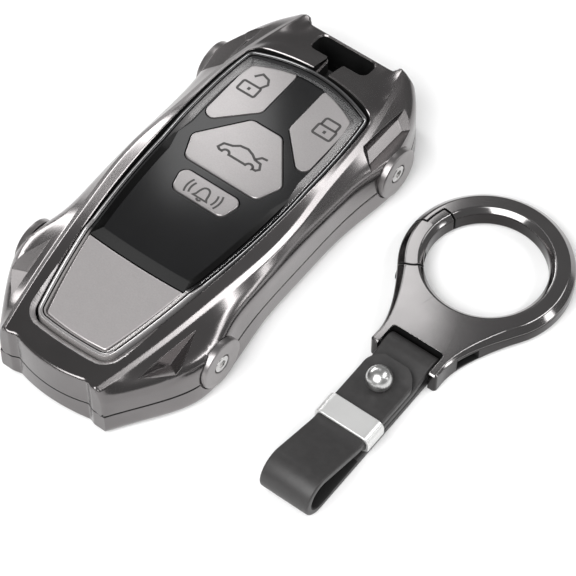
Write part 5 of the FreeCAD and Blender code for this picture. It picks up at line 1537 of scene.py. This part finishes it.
def strip_tree():
    """A tree that carries a strip's rounded section along a curve and gives it a finish."""
    tree = bpy.data.node_groups.new("strip_on_route", "GeometryNodeTree")
    face = tree.interface
    face.new_socket("Route", in_out="INPUT", socket_type="NodeSocketGeometry")
    for name in ("Width", "Thickness", "Edge"):
        face.new_socket(name, in_out="INPUT", socket_type="NodeSocketFloat")
    face.new_socket("Finish", in_out="INPUT", socket_type="NodeSocketMaterial")
    face.new_socket("Strip", in_out="OUTPUT", socket_type="NodeSocketGeometry")
    entry = add(tree, "NodeGroupInput")
    flat = add(tree, "GeometryNodeCurvePrimitiveQuadrilateral", None,
               {"Width": entry.outputs["Width"], "Height": entry.outputs["Thickness"]})
    soft = add(tree, "GeometryNodeFilletCurve", {"mode": "POLY", "Count": 4},
               {"Curve": flat.outputs["Curve"], "Radius": entry.outputs["Edge"]})
    sweep = add(tree, "GeometryNodeCurveToMesh", {"Fill Caps": True},
                {"Curve": entry.outputs["Route"], "Profile Curve": soft.outputs["Curve"]})
    real = add(tree, "GeometryNodeRealizeInstances", None, {"Geometry": sweep.outputs["Mesh"]})
    coat = add(tree, "GeometryNodeSetMaterial", None,
               {"Geometry": real.outputs["Geometry"], "Material": entry.outputs["Finish"]})
    out = add(tree, "NodeGroupOutput")
    tree.links.new(coat.outputs["Geometry"], out.inputs["Strip"])
    return tree


strip_on_route = strip_tree()
print("sockets of the tree:", [socket.name for socket in strip_on_route.interface.items_tree])

# %% A strip of leather
STRAP_WIDTH, STRAP_THICK, STRAP_EDGE = 10.5, 1.6, 0.38


def strip(name, route):
    """A leather strip along a route of (y, z) points in the strap's middle plane."""
    line = bpy.data.curves.new(name, "CURVE")
    line.dimensions = "3D"
    run = line.splines.new("POLY")
    run.points.add(len(route) - 1)
    for point, (y, z) in zip(run.points, route):
        point.co = (CHAIN_X * MM, y * MM, z * MM, 1.0)
    holder = bpy.data.objects.new(name + "_route", line)
    bpy.context.scene.collection.objects.link(holder)
    step = holder.modifiers.new("strip", "NODES")
    step.node_group = strip_on_route
    inputs = {"Width": STRAP_WIDTH * MM, "Thickness": STRAP_THICK * MM, "Edge": STRAP_EDGE * MM,
              "Finish": leather}
    for label, value in inputs.items():
        step[socket_id(strip_on_route, label)] = value
    bpy.context.view_layer.update()
    graph = bpy.context.evaluated_depsgraph_get()
    mesh = bpy.data.meshes.new_from_object(holder.evaluated_get(graph), depsgraph=graph)
    bpy.data.objects.remove(holder)
    made = bpy.data.objects.new(name, mesh)
    bpy.context.scene.collection.objects.link(made)
    return made


print("strap:", STRAP_WIDTH, "mm wide and", STRAP_THICK, "mm thick")

# %% [markdown]
# ## The strap's route
# Seen from the side, the route starts between the layers, folds over the pin, runs along the table, turns
# up round the end loop and comes back on top as far as the root of the tongue. The tongue is a second run
# of the same section, which lifts at its tip. It is rounded in plan and joined to the strip. Then the
# stud's hole is punched, and a sink for its screw is cut from below.

# %% Route of the strap


def straight(a, b, step_mm=1.5):
    """Points on a straight run, without its ends."""
    count = int(np.linalg.norm(b - a) / step_mm)
    return [between(a, b, s) for s in np.linspace(0, 1, count + 1)[1:-1]]


def bent_route(points, radii, step_mm=0.35):
    """A route whose corners are bent to the given radii."""
    points = np.array(points, float)
    out = [points[0]]
    for k, radius in enumerate(radii, start=1):
        into, onward = unit(points[k - 1] - points[k]), unit(points[k + 1] - points[k])
        half = math.acos(np.clip(into @ onward, -1, 1)) / 2
        reach = radius / math.tan(half)
        a, b = points[k] + into * reach, points[k] + onward * reach
        count = max(4, int(radius * (math.pi - 2 * half) / step_mm))
        out += straight(out[-1], a)
        out += [bend(a, points[k], b, half, s) for s in np.linspace(0, 1, count)]
    return out + straight(out[-1], points[-1]) + [points[-1]]


LAYER_STEP, FLOOR_Z = STRAP_THICK + 0.2, STRAP_THICK / 2
FLAP_Z, TOP_LAYER_Z = FLOOR_Z + LAYER_STEP, FLOOR_Z + 2 * LAYER_STEP
FOLD = 1.75
FOLD_Y = STRAP_PIN_Y + FOLD
FOLD_TOP = FLOOR_Z + 2 * FOLD
LOOP_END_Y, LOOP_HEIGHT, LOOP_FOOT_Y = -38.3, 8.6, -22.6
LOOP_R = (LOOP_HEIGHT - STRAP_THICK) / 2
loop_y = LOOP_END_Y + STRAP_THICK / 2
run_y, run_z = LOOP_FOOT_Y - (loop_y + LOOP_R), TOP_LAYER_Z - (FLOOR_Z + LOOP_R)
touch = math.atan2(run_z, run_y) + math.acos(LOOP_R / math.hypot(run_y, run_z))
shoulder_z = FLOOR_Z + LOOP_R + LOOP_R * math.tan((math.pi - touch) / 2)
STUD_Y, STUD_HOLE_R, STUD_SINK_R, STUD_SINK_Z = -9.9, 1.35, 3.15, 0.95
TONGUE_END_Y, TONGUE_LIFT, TONGUE_ROUND = -4.2, 0.95, 4.4
ROOT_Y = STUD_Y - 2.4
# two bends meet in the fold and in the loop, so each is a hair under its radius
SNUG = 0.995
long_route = bent_route(
    [(-15.6, FLAP_Z), (-6.5, FLAP_Z), (STRAP_PIN_Y - 0.8, FOLD_TOP), (FOLD_Y, FOLD_TOP), (FOLD_Y, FLOOR_Z),
     (loop_y, FLOOR_Z), (loop_y, shoulder_z), (LOOP_FOOT_Y, TOP_LAYER_Z), (ROOT_Y, TOP_LAYER_Z)],
    [6.0, 3.0, FOLD * SNUG, FOLD * SNUG, LOOP_R * SNUG, LOOP_R * SNUG, 8.0])
tongue_route = bent_route([(ROOT_Y - 0.4, TOP_LAYER_Z), (between(ROOT_Y, TONGUE_END_Y, 0.6), TOP_LAYER_Z),
                           (TONGUE_END_Y, TOP_LAYER_Z + TONGUE_LIFT)], [5.0])
steps = np.linalg.norm(np.diff(np.array(long_route), axis=0), axis=1)
print("strip up to the tongue's root:", round(steps.sum(), 1), "mm")

# %% Strap
strap = strip("leather_strap", long_route)
tongue = strip("tongue", tongue_route)
low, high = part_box("strap")
strap_points = np.array([v.co for v in strap.data.vertices]) / MM
print("strap box, CAD:", [round(c / MM, 2) for c in (*low, *high)])
print("strap box, here:", np.round(strap_points.min(0), 2), np.round(strap_points.max(0), 2))
left, right = CHAIN_X - STRAP_WIDTH / 2 - 0.1, CHAIN_X + STRAP_WIDTH / 2 + 0.1
tongue_plan = rectangle(left, right, -30.0, TONGUE_END_Y + 0.05, TONGUE_ROUND, 14)
carve(tongue, [prism("tongue_plan", tongue_plan, UNDER, OVER)], "INTERSECT")
carve(strap, [tongue], "UNION")
carve(strap, [upright_drill(STUD_HOLE_R, CHAIN_X, STUD_Y, UNDER, OVER),
              upright_drill(STUD_SINK_R, CHAIN_X, STUD_Y, UNDER, STUD_SINK_Z)])
dress(strap, leather, math.radians(35))
strap.data.materials.append(shaded_flesh_side)
FLESH_SHADE = 1
# faces of the loop that look towards its middle show the flesh side, near black: painted shade inside the
# loop
for face in strap.data.polygons:
    x, y, z = face.center / MM
    heart_y = min(max(y, loop_y + LOOP_R), LOOP_FOOT_Y)
    heart_z = between(FLOOR_Z + LOOP_R, FLAP_Z, np.clip((heart_y - loop_y - LOOP_R) / run_y, 0, 1))
    if y < LOOP_FOOT_Y and face.normal.y * (heart_y - y) + face.normal.z * (heart_z - z) > 0.5:
        face.material_index = FLESH_SHADE
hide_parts("strap")
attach(strap, "strap_set")
print("strap faces:", len(strap.data.polygons))

# %% [markdown]
# ## The slider
# The slider is a strip of metal bent round the strap, with its ends meeting underneath. Its section is a
# rectangle with round corners, drawn twice, outside and inside, and its edges are broken a little.

# %% Slider
SLIDER_FRONT_Y, SLIDER_REAR_Y, SLIDER_WALL, SLIDER_BEND, SLIDER_EDGE = -21.2, -16.4, 0.55, 1.6, 0.14
slider_low, slider_high = (np.array(corner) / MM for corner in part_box("slider"))


def slider_ring(inset, y):
    """The slider's section, drawn in by an inset, at a place along the strap."""
    x0, x1 = slider_low[0] + inset, slider_high[0] - inset
    section = rectangle(x0, x1, slider_low[2] + inset, slider_high[2] - inset, SLIDER_BEND - inset, 10)
    return np.column_stack([section[:, 0], np.full(len(section), y), section[:, 1]])


slider_lines = [(0.0, SLIDER_FRONT_Y + SLIDER_EDGE), (0.0, SLIDER_REAR_Y - SLIDER_EDGE),
                (SLIDER_EDGE, SLIDER_REAR_Y), (SLIDER_WALL, SLIDER_REAR_Y), (SLIDER_WALL, SLIDER_FRONT_Y),
                (SLIDER_EDGE, SLIDER_FRONT_Y)]
slider_rings = np.stack([slider_ring(inset, y) for inset, y in slider_lines], 1)
slider = piece("strap_slider", slider_rings.reshape(-1, 3), grid_faces(*slider_rings.shape[:2], True, True),
               bright_plate, math.radians(30))
even_normals(slider)
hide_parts("slider")
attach(slider, "strap_set")
print("slider faces:", len(slider.data.polygons))

# %% [markdown]
# ## The ball stud
# The strap buttons over a ball, turned from brass and plated, with a flat underneath that holds the
# tongue down. A screw comes up into its post from below.

# %% Stud
BALL_R, POST_R, BORE_R, BALL_FLAT, STUD_COUNT = 2.5, 1.2, 0.75, 0.64, 72
STRAP_TOP = TOP_LAYER_Z + STRAP_THICK / 2
BALL_REST = STRAP_TOP + 0.35
ball_z = BALL_REST + BALL_R * BALL_FLAT
post_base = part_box("stud")[0][2] / MM
ball_turns = np.linspace(-math.asin(BALL_FLAT), math.pi / 2, 40)
stud_profile = [(0.0, STRAP_TOP), (BORE_R, STRAP_TOP), (BORE_R, post_base), (POST_R, post_base),
                (POST_R, BALL_REST)]
stud_profile += [(BALL_R * math.cos(t), ball_z + BALL_R * math.sin(t)) for t in ball_turns]
stud_turns = np.linspace(0, 2 * math.pi, STUD_COUNT, endpoint=False)
stud_points = [(CHAIN_X + r * math.cos(t), STUD_Y + r * math.sin(t), z)
               for t in stud_turns for r, z in stud_profile]
stud_faces = grid_faces(STUD_COUNT, len(stud_profile), True)
stud = piece("ball_stud", stud_points, stud_faces, ball_plate, math.radians(35))
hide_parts("stud")
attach(stud, "strap_set")

# %% [markdown]
# ## Floor and light
# The object lies on a pale, matt table under studio light. A large softbox in front of the nose, high up,
# lights the table and most of the upper faces. Polished metal shows only what it mirrors, so the other
# lights are small cards, each placed where one group of faces reflects it to the camera: the shoulder,
# the hump, the rear, the frame, the far side, the key field and the ring. A grey surround fills in the
# rest.

# %% Table
# even and matt: nearly white, with soft shadows and hardly any reflection
table_paint = finish("table, pale matt lacquer", "#f6f6f6", {"IOR": 1.45}, (30.0, 0.01), (0.6, 0.03), 20.0)
FLOOR_HALF, FLOOR_LEVEL = 600.0, -0.05
floor_corners = [(x * FLOOR_HALF, y * FLOOR_HALF, FLOOR_LEVEL)
                 for x, y in ((-1, -1), (1, -1), (1, 1), (-1, 1))]
floor = piece("table", floor_corners, [(0, 1, 2, 3)], table_paint)
print("table top at z", FLOOR_LEVEL)

# %% Lights and surround


def softbox(name, place, target, width, height, watts):
    """An area light that faces a point, all in millimetres."""
    light = bpy.data.lights.new(name, "AREA")
    light.shape = "RECTANGLE"
    light.size, light.size_y = width * MM, height * MM
    light.energy = watts
    lamp = bpy.data.objects.new(name, light)
    lamp.location = Vector(place) * MM
    lamp.rotation_euler = (Vector(target) - Vector(place)).to_track_quat("-Z", "Y").to_euler()
    bpy.context.scene.collection.objects.link(lamp)
    return lamp


# name, place, the point it faces, width, height, watts
LIGHTS = [("overhead", (75, -420, 480), (15, 0, 0), 520, 520, 5.6),
          ("shoulder strip", (311, 125, 361), (14, -15, 13), 230, 80, 0.45),
          ("hump light", (394, 135, 125), (20, -25, 12), 60, 60, 0.07),
          ("rear card", (249, 281, 298), (15, 25, 15), 140, 110, 0.2),
          ("frame card", (258, 173, 263), (14, -10, 13), 130, 130, 0.03),
          ("far side", (-440, 150, 165), (-10, 0, 15), 270, 120, 0.8),
          ("pad card", (-47, 58, 80), (-12, 20, 15), 26, 42, 0.0095),
          ("ring card", (-30, 110, 150), (40, 10, 5), 24, 60, 0.0115)]
lamps = [softbox(*light) for light in LIGHTS]
world = bpy.data.worlds.new("surround")
world.use_nodes = True
backdrop = world.node_tree.nodes["Background"]
backdrop.inputs["Color"].default_value = linear("#8c8c8c")
backdrop.inputs["Strength"].default_value = 1.0
bpy.context.scene.world = world
bpy.context.scene.view_settings.view_transform = "Standard"
print("lights:", [lamp.name for lamp in lamps])
